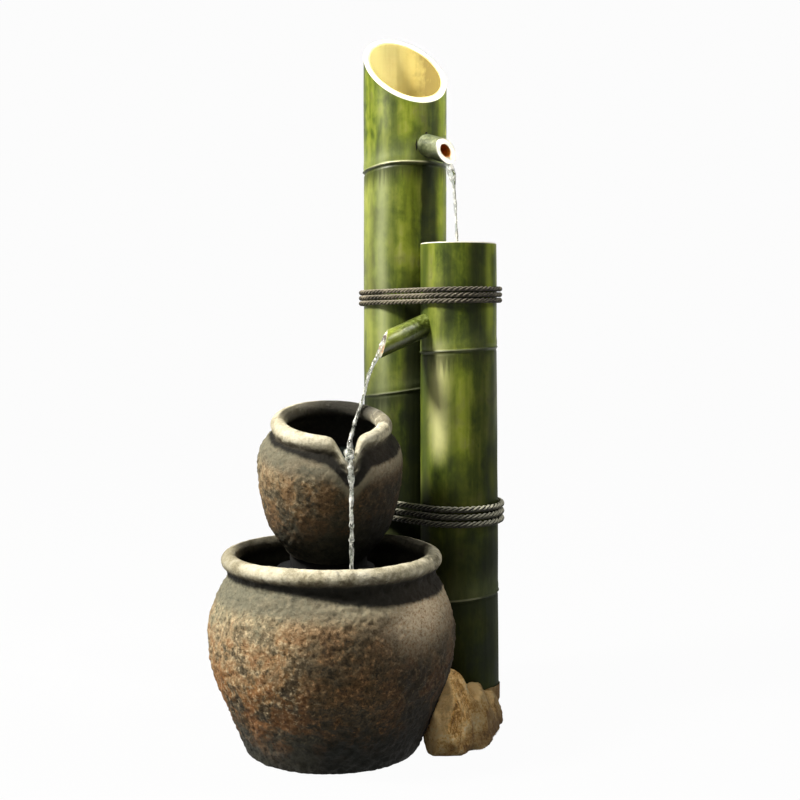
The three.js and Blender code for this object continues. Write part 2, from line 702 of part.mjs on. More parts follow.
// The rope's centre line, from the knot round ROPE_TURNS times and back to the knot.
function lashingPath(ropeR, pitch, startZ) {
  const middleZ = startZ + (pitch * ROPE_TURNS) / 2;
  const stand = ropeR + GAP;
  const bulge = 1 / Math.cos(Math.PI / ARC_STEPS / 2); // keeps the flats between points off the culms
  const band = bandAround((TALL_R + stand) * bulge, (shortRadiusAt(middleZ) + stand) * bulge, middleZ);
  const { points, around } = band;
  const first = points[0];
  const back = new THREE.Vector3().lerpVectors(first.at, points[points.length - 1].at, 1 / 2);
  const along = first.at.clone().sub(back).normalize();
  const knotOut = ropeR + GAP + KNOT_THICK / 2;
  const lead = [KNOT_LENGTH / 2 + GAP, KNOT_LENGTH / 2 + GAP + 2 * ropeR];
  const level = (point, share) => point.clone().setZ(startZ + pitch * share);
  const knotAtBack = back.clone().addScaledVector(first.out, knotOut);
  const ending = (side, share) =>
    lead.map((way) => level(knotAtBack.clone().addScaledVector(along, side * way), share(way / around)));
  const path = ending(1, (share) => share);
  for (let turn = 0; turn < ROPE_TURNS; turn += 1) {
    const middle = new THREE.Vector3().lerpVectors(points[ARC_STEPS].at, points[ARC_STEPS + 1].at, 1 / 2);
    const middleShare = (points[ARC_STEPS].share + points[ARC_STEPS + 1].share) / 2;
    const levels = points.map(({ at, share }) => level(at, turn + share));
    levels.splice(ARC_STEPS + 1, 0, level(middle, turn + middleShare));
    path.push(...levels);
    if (turn < ROPE_TURNS - 1) path.push(level(back, turn + 1));
  }
  path.push(...ending(-1, (share) => ROPE_TURNS - share).reverse());
  return { path, knotAt: knotAtBack.setZ(middleZ), facing: Math.atan2(first.out.y, first.out.x), around };
}

// One tube of rope along a level path: a ring of points at each step, joined to the next.
function ropeTube(path, ropeR) {
  const positions = [];
  const faces = [];
  path.forEach((point, i) => {
    const ahead = path[Math.min(i + 1, path.length - 1)];
    const behind = path[Math.max(i - 1, 0)];
    const way = ahead.clone().sub(behind).normalize();
    const side = new THREE.Vector3().crossVectors(way, Z_AXIS).normalize();
    const up = new THREE.Vector3().crossVectors(side, way);
    for (let k = 0; k < ROPE_SIDES; k += 1) {
      const angle = (2 * Math.PI * k) / ROPE_SIDES;
      const at = point
        .clone()
        .addScaledVector(side, ropeR * Math.cos(angle))
        .addScaledVector(up, ropeR * Math.sin(angle));
      positions.push(at.x, at.y, at.z);
    }
  });
  const last = (path.length - 1) * ROPE_SIDES;
  for (let i = 0; i < path.length - 1; i += 1) {
    for (let k = 0; k < ROPE_SIDES; k += 1) {
      const a = i * ROPE_SIDES + k;
      const b = i * ROPE_SIDES + ((k + 1) % ROPE_SIDES);
      faces.push(a, b + ROPE_SIDES, b, a, a + ROPE_SIDES, b + ROPE_SIDES);
    }
  }
  for (let k = 1; k < ROPE_SIDES - 1; k += 1) {
    faces.push(0, k, k + 1, last, last + k + 1, last + k);
  }
  const tube = new THREE.BufferGeometry();
  tube.setAttribute("position", new THREE.Float32BufferAttribute(positions, 3));
  tube.setIndex(faces);
  tube.computeVertexNormals();
  return tube;
}

// The least gap between one turn of a rope and the next, from points along its centre line.
function leastGap(path, ropeR, around) {
  const line = new THREE.CatmullRomCurve3(path, false, "centripetal");
  const samples = line.getSpacedPoints(path.length * 6);
  const apart = Math.ceil((samples.length * around) / line.getLength() / 2);
  let least = Infinity;
  samples.forEach((a, i) => samples.slice(i + apart).forEach((b) => {
    least = Math.min(least, a.distanceTo(b));
  }));
  return least - 2 * ropeR;
}

function lashing(name, ropeR, pitch, startZ) {
  const { path, knotAt, facing, around } = lashingPath(ropeR, pitch, startZ);
  piece(groups.lashings, name, ropeTube(path, ropeR), rope);
  console.log(`${name}: least gap between turns ${leastGap(path, ropeR, around).toFixed(2)} mm`);
  const half = [KNOT_THICK / 2, KNOT_LENGTH / 2, (pitch * ROPE_TURNS) / 2 + ropeR + KNOT_MARGIN];
  const bulge = half.map((value, i) => value * KNOT_BULGE_SHARES[i]);
  const lump = new THREE.SphereGeometry(1, 10, 8).scale(...bulge);
  const place = new THREE.Matrix4().makeRotationZ(facing).setPosition(knotAt);
  const knot = solid(lump).intersect(solid(block(half.map((value) => -value), half)));
  piece(groups.lashings, `${name}_knot`, knot, rope, place);
}

lashing("upper_lashing", UPPER_ROPE_R, UPPER_ROPE_PITCH, UPPER_ROPE_Z);
lashing("lower_lashing", LOWER_ROPE_R, LOWER_ROPE_PITCH, LOWER_ROPE_Z);

// Rock base.

function rockLump({ at, half, detail }) {
  const lump = new THREE.IcosahedronGeometry(1, detail);
  const reach = new THREE.Vector3(...half).multiplyScalar(ROCK_SPREAD);
  const middle = new THREE.Vector3(...at).multiplyScalar(ROCK_SPREAD);
  return moved(lump, (point) => {
    const out = point.clone();
    point.multiply(reach).add(middle);
    const waves = point.clone().divideScalar(ROCK_WAVE).toArray();
    const layers = ROCK_BUMP_SHARES.map(([pace, sway], axis) =>
      Math.sin(waves[axis] * pace + sway * Math.sin(waves[(axis + 1) % waves.length])),
    );
    point.addScaledVector(out, (ROCK_RELIEF * (layers[0] + layers[1] + layers[2])) / 2);
  });
}

function slabOutline() {
  const { points } = bandAround(SLAB_TALL_R, SLAB_SHORT_R, 0);
  return new THREE.Shape(points.map(({ at }) => new THREE.Vector2(at.x, at.y)));
}

const jarShoulder = LARGE_JAR_H - 2 * LARGE_RIM_ROLL_R - LARGE_NECK_H;
const jarSkin = LARGE_BODY_SHARES.map(([r, z]) => [r * LARGE_JAR_BELLY_R + ROCK_GAP, z * jarShoulder]);
const jarRoom = turned(
  [[0, -OVERRUN], [jarSkin[0][0], -OVERRUN], ...jarSkin, [0, jarShoulder]],
  LARGE_JAR_SIDES,
);
const plugs = {
  tall_culm_plug: { at: tallAt, r: TALL_R - TALL_WALL - PLUG_CLEARANCE },
  short_culm_plug: {
    at: shortCentreAt(footZ + PLUG_H / 2),
    r: SHORT_TOP_R - SHORT_WALL - PLUG_CLEARANCE,
  },
};
const screws = Object.values(plugs).flatMap(({ at: [x, y] }) =>
  [-1, 1].map((side) => new THREE.Matrix4().makeTranslation(x + (side * SCREW_SPREAD) / 2, y, 0)),
);
const rockCut = ROCK_CUT_SHARE * ROCK_SPREAD;
const culmRoom = (centre, r) =>
  solid(rod(r, SLAB_H, rockCut, CULM_SIDES), new THREE.Matrix4().makeTranslation(...centre, 0));
piece(
  groups.base,
  "rock_base",
  cut(
    join(
      solid(new THREE.ExtrudeGeometry(slabOutline(), { depth: SLAB_H, bevelEnabled: false })),
      ...ROCK_LUMP_SHARES.map((lump) => solid(rockLump(lump))),
    ),
    solid(block([-rockCut, -rockCut, -rockCut], [rockCut, rockCut, 0])),
    solid(jarRoom),
    culmRoom(tallAt, TALL_R + RING_RISE + ROCK_GAP),
    culmRoom(shortCentreAt(0), SHORT_FOOT_R + ROCK_GAP),
    ...screws.flatMap((place) => [
      solid(rod(SCREW_R + GAP, -OVERRUN, SLAB_H + OVERRUN, 12), place),
      solid(rod(SCREW_HEAD_R + GAP, -OVERRUN, SCREW_HEAD_H + 2 * GAP, 12), place),
    ]),
  ),
  rock,
);

for (const [name, { at, r }] of Object.entries(plugs)) {
  const place = new THREE.Matrix4().makeTranslation(...at, 0);
  const back = place.clone().invert();
  const holes = screws.map((screw) =>
    solid(rod(SCREW_R + GAP, 0, footZ + SCREW_GRIP + 2 * GAP, 12), back.clone().multiply(screw)),
  );
  piece(groups.base, name, cut(solid(rod(r, footZ, footZ + PLUG_H, CULM_SIDES)), ...holes), plugWood, place);
}
const screw = join(
  solid(rod(SCREW_HEAD_R, GAP, SCREW_HEAD_H, 12)),
  solid(rod(SCREW_R, SCREW_HEAD_H / 2, footZ + SCREW_GRIP, 10)),
);
screws.forEach((place, i) => piece(groups.base, `plug_screw_${i + 1}`, screw, steel, place));

// Stand inside the large jar.

const plateUnder = PLATE_TOP_Z - PLATE_THICK;
const legTop = plateUnder + LEG_SOCKET - GAP;
const standFloor = LARGE_JAR_FLOOR + GAP;
const legFoot = standFloor + STAND_FOOT_H - LEG_SOCKET;
const legPlaces = LEG_ANGLES_DEG.map((angle) => polar(angle, LEG_RING_R, [STAND_X, STAND_Y]));
const plateFrame = new THREE.Matrix4().makeTranslation(STAND_X, STAND_Y, 0);
const legFrames = legPlaces.map(([x, y]) => new THREE.Matrix4().makeTranslation(x, y, 0));
const sockets = legFrames.map((place) =>
  solid(
    rod(LEG_R + GAP, plateUnder - OVERRUN, plateUnder + LEG_SOCKET, 14),
    plateFrame.clone().invert().multiply(place),
  ),
);
piece(
  groups.stand,
  "stand_plate",
  cut(solid(rod(PLATE_R, plateUnder, PLATE_TOP_Z, LARGE_JAR_SIDES)), ...sockets),
  blackPlastic,
  plateFrame,
);
legFrames.forEach((place, i) => {
  const leg = ring(LEG_R, LEG_R - LEG_WALL, legFoot, legTop, 14);
  piece(groups.stand, `stand_leg_${i + 1}`, leg, greyPlastic, place);
  const cup = cut(
    solid(rod(STAND_FOOT_R, standFloor, standFloor + STAND_FOOT_H, 14)),
    solid(rod(LEG_R + GAP, legFoot - GAP, standFloor + STAND_FOOT_H + OVERRUN, 14)),
  );
  piece(groups.stand, `stand_foot_${i + 1}`, cup, rubber, place);
});
// The wedge is level below and slants above to carry the tipped jar.
const smallJarRoom = solid(
  block(
    [-SMALL_JAR_BELLY_R, -SMALL_JAR_BELLY_R, -GAP],
    [SMALL_JAR_BELLY_R, SMALL_JAR_BELLY_R, SMALL_JAR_H],
  ),
  smallJarFrame,
);
const wedgeFrame = new THREE.Matrix4().makeTranslation(SMALL_JAR_BASE[0], SMALL_JAR_BASE[1], 0);
const wedgeBlank = rod(WEDGE_R, PLATE_TOP_Z + GAP, PLATE_TOP_Z + WEDGE_R, LARGE_JAR_SIDES);
piece(groups.stand, "tilt_wedge", cut(solid(wedgeBlank, wedgeFrame), smallJarRoom), rubber);

// Pump: its frame has +Z forwards out of the inlet, with the origin on the front face's middle.

const pumpMiddleZ = LARGE_JAR_FLOOR + 2 * GAP + SUCTION_FOOT_H + PUMP_H / 2;
const pumpFrontY = PUMP_Y - PUMP_D / 2;
const pumpFrame = new THREE.Matrix4()
  .makeTranslation(PUMP_X, pumpFrontY, pumpMiddleZ)
  .multiply(new THREE.Matrix4().makeRotationX(Math.PI / 2));
const rotorEnd = -CHAMBER_D - ROTOR_BORE_D;

function roundedBox(width, height, low, high, corner) {
  const outline = new THREE.Shape();
  const [x, y] = [width / 2 - corner, height / 2 - corner];
  outline.absarc(x, y, corner, 0, Math.PI / 2);
  outline.absarc(-x, y, corner, Math.PI / 2, Math.PI);
  outline.absarc(-x, -y, corner, Math.PI, 1.5 * Math.PI);
  outline.absarc(x, -y, corner, 1.5 * Math.PI, 2 * Math.PI);
  const options = { depth: high - low, bevelEnabled: false, curveSegments: 3 };
  return new THREE.ExtrudeGeometry(outline, options).translate(0, 0, low);
}

const pumpBack = pumpFrame.clone().invert();
const outletFrame = new THREE.Matrix4().makeTranslation(PUMP_X, pumpFrontY + OUTLET_BACK, 0);
const pumpTopZ = pumpMiddleZ + PUMP_H / 2;
const outletFoot = pumpTopZ - OUTLET_SEAT;
const stemPlaces = [-1, 1].flatMap((side) =>
  [-1, 1].map((end) => [
    PUMP_X + side * (PUMP_W / 2 - PUMP_CORNER_R - SUCTION_STEM_R),
    PUMP_Y + end * (PUMP_D / 2 - PUMP_CORNER_R - SUCTION_STEM_R),
  ]),
);
const pumpFloor = pumpMiddleZ - PUMP_H / 2;
const stemFrames = stemPlaces.map(([x, y]) => new THREE.Matrix4().makeTranslation(x, y, 0));
const inPump = (frame) => pumpBack.clone().multiply(frame);
const coverSeat = COVER_THICK + GAP;
piece(
  groups.pump,
  "pump_body",
  cut(
    solid(roundedBox(PUMP_W, PUMP_H, -PUMP_D, 0, PUMP_CORNER_R)),
    solid(rod(COVER_SEAT_R + GAP, -coverSeat, OVERRUN, 24)),
    solid(rod(CHAMBER_R, -CHAMBER_D - coverSeat, OVERRUN, 24)),
    solid(rod(ROTOR_BORE_R, rotorEnd - coverSeat, 0, 20)),
    solid(rod(BUSH_R + GAP, rotorEnd - coverSeat - BUSH_L - GAP, rotorEnd, 12)),
    solid(rod(OUTLET_R + GAP, outletFoot, pumpTopZ + OVERRUN, 14), inPump(outletFrame)),
    solid(rod(OUTLET_BORE_R, pumpMiddleZ + CHAMBER_R / 2, pumpTopZ, 14), inPump(outletFrame)),
    solid(rod(CABLE_GLAND_R + GAP, -PUMP_D - OVERRUN, -PUMP_D + CABLE_GLAND_L / 2, 14)),
    ...stemFrames.map((frame) =>
      solid(rod(SUCTION_STEM_R + GAP, pumpFloor - OVERRUN, pumpFloor + SUCTION_STEM_H, 10), inPump(frame)),
    ),
  ),
  blackPlastic,
  pumpFrame,
);
piece(
  groups.pump,
  "pump_outlet",
  ring(OUTLET_R, OUTLET_BORE_R, outletFoot + GAP, pumpTopZ + OUTLET_H, 14),
  blackPlastic,
  outletFrame,
);
piece(
  groups.pump,
  "pump_cable_gland",
  ring(CABLE_GLAND_R, CABLE_R, -PUMP_D - CABLE_GLAND_L / 2, -PUMP_D + CABLE_GLAND_L / 2 - GAP, 14),
  rubber,
  pumpFrame,
);
stemFrames.forEach((frame, i) => {
  const floor = LARGE_JAR_FLOOR + GAP;
  const cup = [
    [0, floor + SUCTION_FOOT_H / 3], [SUCTION_FOOT_R * SUCTION_CUP_SHARE, floor], [SUCTION_FOOT_R, floor],
    [SUCTION_STEM_R * SUCTION_NECK_SHARE, pumpFloor - GAP], [SUCTION_STEM_R, pumpFloor - GAP],
    [SUCTION_STEM_R, pumpFloor + SUCTION_STEM_H - GAP], [0, pumpFloor + SUCTION_STEM_H - GAP],
  ];
  piece(groups.pump, `suction_foot_${i + 1}`, turned(cup, 12), rubber, frame);
});

const coverInside = -coverSeat + GAP;
const inlets = Array.from({ length: INLETS }, (_, i) => {
  const angle = (2 * Math.PI * i) / INLETS;
  const place = new THREE.Matrix4().makeTranslation(
    INLET_RING_R * Math.cos(angle), INLET_RING_R * Math.sin(angle), 0,
  );
  return solid(rod(INLET_R, coverInside - OVERRUN, OVERRUN, 10), place);
});
const bushSeat = coverInside + BUSH_L / 2;
piece(
  groups.pump,
  "chamber_cover",
  cut(
    solid(rod(COVER_SEAT_R, coverInside, -GAP, 24)),
    solid(rod(BUSH_R + GAP, coverInside - OVERRUN, bushSeat + GAP, 12)),
    ...inlets,
  ),
  greyPlastic,
  pumpFrame,
);
const shaftHole = SHAFT_R + SHAFT_CLEARANCE;
const bush = (low, high) => ring(BUSH_R, shaftHole, low, high, 12);
piece(groups.pump, "front_shaft_bush", bush(bushSeat - BUSH_L, bushSeat), rubber, pumpFrame);
const rearBush = rotorEnd - coverSeat - BUSH_L;
piece(groups.pump, "rear_shaft_bush", bush(rearBush, rearBush + BUSH_L), rubber, pumpFrame);
piece(groups.pump, "rotor_shaft", rod(SHAFT_R, rearBush, bushSeat, 10), ceramic, pumpFrame);
// The rotor: a magnet barrel with a hub and flat blades, turning on the shaft.
const rotorFoot = rearBush + BUSH_L + 2 * GAP;
const barrelTop = -CHAMBER_D - coverSeat + 2 * GAP;
const bladeTop = Math.min(barrelTop + BLADE_L, bushSeat - BUSH_L - GAP);
const blades = Array.from({ length: BLADES }, (_, i) =>
  solid(
    block([0, -BLADE_THICK / 2, barrelTop - GAP], [BLADE_R, BLADE_THICK / 2, bladeTop]),
    new THREE.Matrix4().makeRotationZ((2 * Math.PI * i) / BLADES),
  ),
);
piece(
  groups.pump,
  "impeller",
  cut(
    join(
      solid(rod(ROTOR_R, rotorFoot, barrelTop)),
      solid(rod(HUB_R, rotorFoot, bladeTop, 14)),
      ...blades,
    ),
    solid(rod(shaftHole, rotorFoot - OVERRUN, bladeTop + OVERRUN, 12)),
  ),
  magnet,
  pumpFrame,
);

// Intake cover: a slotted cap over the pump's front, with a sponge behind it and a flow dial on it.
const inside = [PUMP_W - 2 * INTAKE_WALL, PUMP_H - 2 * INTAKE_WALL];
const slotLength = inside[1] * SLOT_SHARE;
const slotPitch = inside[0] / (SLOTS + 1);
const slots = Array.from({ length: SLOTS }, (_, i) => {
  const x = (i - (SLOTS - 1) / 2) * slotPitch;
  const low = [x - SLOT_W / 2, -slotLength / 2, INTAKE_D - 2 * OVERRUN];
  return solid(block(low, [x + SLOT_W / 2, slotLength / 2, INTAKE_D + OVERRUN]));
});
const dialSeat = INTAKE_D + GAP;
const corner = PUMP_CORNER_R - INTAKE_WALL;
piece(
  groups.pump,
  "intake_cover",
  cut(
    join(
      cut(
        solid(roundedBox(PUMP_W, PUMP_H, GAP, INTAKE_D, PUMP_CORNER_R)),
        solid(roundedBox(...inside, -OVERRUN, INTAKE_D - INTAKE_WALL, corner)),
        ...slots,
      ),
      solid(rod(DIAL_R, INTAKE_D - INTAKE_WALL, INTAKE_D, 20)),
    ),
    solid(rod(DIAL_PIN_R + GAP, INTAKE_D - 2 * OVERRUN, INTAKE_D + OVERRUN, 12)),
  ),
  blackPlastic,
  pumpFrame,
);
const dialBar = [DIAL_R * DIAL_BAR_SHARE, DIAL_BAR / 2, dialSeat + 2 * DIAL_THICK];
piece(
  groups.pump,
  "flow_dial",
  join(
    solid(rod(DIAL_R, dialSeat, dialSeat + DIAL_THICK, 20)),
    solid(rod(DIAL_PIN_R, INTAKE_D - INTAKE_WALL - 2 * GAP, dialSeat + GAP, 12)),
    solid(block([-dialBar[0], -dialBar[1], dialSeat], dialBar)),
  ),
  greyPlastic,
  pumpFrame,
);
piece(
  groups.pump,
  "intake_sponge",
  roundedBox(inside[0] - 2 * GAP, inside[1] - 2 * GAP, 2 * GAP, SPONGE_D, corner),
  sponge,
  pumpFrame,
);

// Pipework. Along its own frame, +Z runs from the large jar's axis to the tall culm's.

const flangeFrom = padInner - GAP - FLANGE_THICK;
const gasketFrom = padOuter + GAP;
const nutFrom = gasketFrom + GASKET_THICK + GAP;
const nutTo = nutFrom + NUT_THICK;
const innerEnd = flangeFrom - INNER_STUB;
const outerEnd = nutTo + OUTER_STUB;
piece(
  groups.pipework,
  "tank_connector",
  cut(
    join(
      solid(rod(STUB_R, innerEnd, outerEnd, 14)),
      solid(rod(CONNECTOR_R, flangeFrom, nutTo, 20)),
      solid(rod(FLANGE_R, flangeFrom, padInner - GAP, 20)),
    ),
    solid(rod(STUB_BORE_R, innerEnd - OVERRUN, outerEnd + OVERRUN, 14)),
  ),
  greyPlastic,
  pipeFrame,
);
piece(
  groups.pipework,
  "tank_gasket",
  ring(FLANGE_R, CONNECTOR_R + GAP, gasketFrom, gasketFrom + GASKET_THICK),
  rubber,
  pipeFrame,
);
piece(
  groups.pipework,
  "tank_nut",
  cut(
    solid(rod(NUT_R, nutFrom, nutTo, NUT_SIDES)),
    solid(rod(CONNECTOR_R + GAP, nutFrom - OVERRUN, nutTo + OVERRUN)),
  ),
  greyPlastic,
  pipeFrame,
);

// A bent pipe or hose between named points.
function pipe(name, points, bendR, outer, bore, steps, material) {
  piece(groups.pipework, name, bent(points, bendR, outer, bore, steps), material);
}

const onWay = (way, z = PIPE_Z) =>
  new THREE.Vector3(...polar(PIPE_FACING_DEG, way), z);
const elbowFrom = culmWay - BEND_R - HOSE_GRIP;
const hoseFrom = nutTo + GAP;
const elbowTop = PIPE_Z + BEND_R + HOSE_GRIP;
pipe("link_hose", [onWay(hoseFrom), onWay(elbowFrom + HOSE_GRIP)], 0, HOSE_R, HOSE_BORE_R, 1, clearVinyl);
pipe(
  "foot_elbow",
  [onWay(elbowFrom), onWay(culmWay), onWay(culmWay, elbowTop)],
  BEND_R, STUB_R, STUB_BORE_R, 7, greyPlastic,
);
piece(
  groups.pipework,
  "entry_grommet",
  grommet(
    HOSE_R + GAP, pipeFrame, culmWay - TALL_R - OVERRUN, culmWay - TALL_R / 2,
    tallSkin(TALL_R), tallSkin(TALL_R - TALL_WALL - GROMMET_INSIDE),
  ),
  rubber,
);

// The spout elbow turns from straight up into the spout's own fall.
const spoutDown = new THREE.Vector3(0, 0, 1).transformDirection(upperSpoutFrame);
const spoutTop = new THREE.Vector3(...tallAt, UPPER_SPOUT_Z);
const stubEnd = spoutTop.clone().addScaledVector(spoutDown, upperSpoutFrom + HOSE_GRIP);
const stubFoot = spoutTop.clone().setZ(UPPER_SPOUT_Z - BEND_R - HOSE_GRIP);
const riserTop = stubFoot.z + HOSE_GRIP;
pipe("spout_elbow", [stubFoot, spoutTop, stubEnd], BEND_R, SPOUT_STUB_R, SPOUT_STUB_BORE_R, 7, greyPlastic);
piece(
  groups.pipework,
  "riser_tube",
  ring(HOSE_R, HOSE_BORE_R, elbowTop - HOSE_GRIP, riserTop, HOSE_SIDES),
  clearVinyl,
  tallFrame,
);

// The pump hose climbs from the outlet, crosses the pump and comes down to the tank connector.
const outletTop = pumpTopZ + OUTLET_H;
const outletAt = new THREE.Vector3(PUMP_X, pumpFrontY + OUTLET_BACK, outletTop - HOSE_GRIP);
const crestZ = outletTop + HOSE_RISE;
const turnDown = onWay(innerEnd - 2 * BEND_R);
const hoseCorners = [outletAt.clone().setZ(crestZ), turnDown.clone().setZ(crestZ), turnDown];
pipe(
  "pump_hose", [outletAt, ...hoseCorners, onWay(innerEnd + HOSE_GRIP)],
  BEND_R, HOSE_R, HOSE_BORE_R, 16, clearVinyl,
);

function hoseClamp(name, frame, middle) {
  const [low, high] = [middle - CLAMP_W / 2, middle + CLAMP_W / 2];
  const inner = HOSE_R + GAP;
  const band = ring(inner + CLAMP_THICK, inner, low, high, CLAMP_SIDES);
  const [lugW, lugH] = CLAMP_LUG;
  const lug = block([-lugW / 2, inner + CLAMP_THICK / 2, low], [lugW / 2, inner + lugH, high]);
  piece(groups.pipework, name, join(solid(band), solid(lug)), steel, frame);
}

hoseClamp("pump_hose_clamp", outletFrame, outletTop - HOSE_GRIP / 2);
hoseClamp("link_hose_clamp", pipeFrame, hoseFrom + CLAMP_W / 2 + GAP);
hoseClamp("riser_foot_clamp", tallFrame, elbowTop - HOSE_GRIP / 2);
hoseClamp("riser_top_clamp", tallFrame, riserTop - HOSE_GRIP / 2);

// Gland for the pump's cable, sealed in the large jar's back.
piece(
  groups.pipework,
  "jar_cable_gland",
  cut(
    join(
      solid(rod(JAR_GLAND_R, glandInside - OVERRUN, glandFace + GAP + JAR_GLAND_FLANGE, 16)),
      solid(rod(JAR_GLAND_FLANGE_R, glandFace + GAP, glandFace + GAP + JAR_GLAND_FLANGE, 16)),
    ),
    solid(rod(CABLE_R, glandInside - 2 * OVERRUN, glandFace + 2 * OVERRUN, 10)),
  ),
  rubber,
  jarGlandFrame,
);

export default fountain;
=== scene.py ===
# %% [markdown]
# # A bamboo and clay-jar garden fountain
# Water climbs a thick bamboo culm, runs out of a cane spout into a shorter culm, out of a second
# spout into a tipped clay jar, and over the jar's lip into a wide jar that hides the pump. The packed
# part brings every solid. This script dresses it: the clay, bamboo, rope and stone are built again
# with the detail the eye expects, the water is added, and everything else gets its finish.

import itertools
import math
from collections import namedtuple

import bpy
import numpy as np
from mathutils import Matrix, Vector


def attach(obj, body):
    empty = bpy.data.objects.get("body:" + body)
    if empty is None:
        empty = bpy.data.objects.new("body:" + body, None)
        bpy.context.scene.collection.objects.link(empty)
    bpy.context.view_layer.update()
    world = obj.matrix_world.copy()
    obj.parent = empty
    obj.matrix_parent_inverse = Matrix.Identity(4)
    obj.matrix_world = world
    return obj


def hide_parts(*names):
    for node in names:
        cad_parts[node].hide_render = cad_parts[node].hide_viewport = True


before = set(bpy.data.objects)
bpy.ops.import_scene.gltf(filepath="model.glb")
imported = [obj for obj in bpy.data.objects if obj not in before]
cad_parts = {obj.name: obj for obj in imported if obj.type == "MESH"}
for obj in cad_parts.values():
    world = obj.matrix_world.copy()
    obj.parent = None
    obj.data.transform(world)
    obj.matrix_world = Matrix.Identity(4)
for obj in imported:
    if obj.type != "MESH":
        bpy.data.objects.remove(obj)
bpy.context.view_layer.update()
scene = bpy.context.scene
MM = 0.001
FIXED = "fountain"  # the body that carries everything but the small jar and the pump's moving pieces

# %% [markdown]
# ## Camera
# The photograph was taken from about 1.3 metres in front, at about the height of the lower spout,
# looking slightly down. A short shift of the eye changes how far each rim opens, so the camera's
# height and tilt were worked out from the rims and the rope lines, not guessed.

# %% Camera
CAMERA_AT = (74.1, -1343, 469.7)
CAMERA_DROP_DEG = 3.89
LENS, SENSOR = 56.25, 36  # in millimetres
lens = bpy.data.cameras.new("photo_camera")
lens.lens, lens.sensor_width = LENS, SENSOR
camera = bpy.data.objects.new("photo_camera", lens)
camera.location = Vector(CAMERA_AT) * MM
camera.rotation_euler = (math.radians(90 - CAMERA_DROP_DEG), 0, 0)
scene.collection.objects.link(camera)
scene.camera = camera
scene.view_settings.view_transform = "Standard"
print("camera at", tuple(round(v, 3) for v in camera.location))

# %% [markdown]
# ## Finishes as expressions
# A material in Blender is a graph of nodes. Wiring it by hand is slow to read, so one small class
# wraps an output socket and lets Python's operators add the Math nodes: `1 - mask * 0.5` is two
# nodes. A second class holds one material, with a single method that adds any other node.


# %% A wire: one output socket, with arithmetic
class Wire:
    def __init__(self, finish, socket):
        self.finish, self.socket = finish, socket

    def math(self, operation, *values):
        return self.finish.node("Math", {"operation": operation}, dict(enumerate(values)))

    def __add__(self, other):
        return self.math("ADD", self, other)

    def __sub__(self, other):
        return self.math("SUBTRACT", self, other)

    def __rsub__(self, other):
        return self.math("SUBTRACT", other, self)

    def __mul__(self, other):
        return self.math("MULTIPLY", self, other)

    def __truediv__(self, other):
        return self.math("DIVIDE", self, other)

    def __rtruediv__(self, other):
        return self.math("DIVIDE", other, self)

    def __pow__(self, other):
        return self.math("POWER", self, other)

    __radd__ = __add__
    __rmul__ = __mul__

    def above(self, other):
        """The larger of the two."""
        return self.math("MAXIMUM", self, other)

    def fall(self):
        """1 where the wire is 0, and less and less above it. Given a square, it makes a round spot."""
        return self.math("EXPONENT", self * -1.0)


print("wires ready")


# %% A finish: one material and the way to add its nodes
def colour(code):
    """A colour written as #rrggbb, as the light values that a shader takes."""
    parts = [int(code[i : i + 2], 16) / 255 for i in (1, 3, 5)]
    return (*[v / 12.92 if v < 0.04045 else ((v + 0.055) / 1.055) ** 2.4 for v in parts], 1)


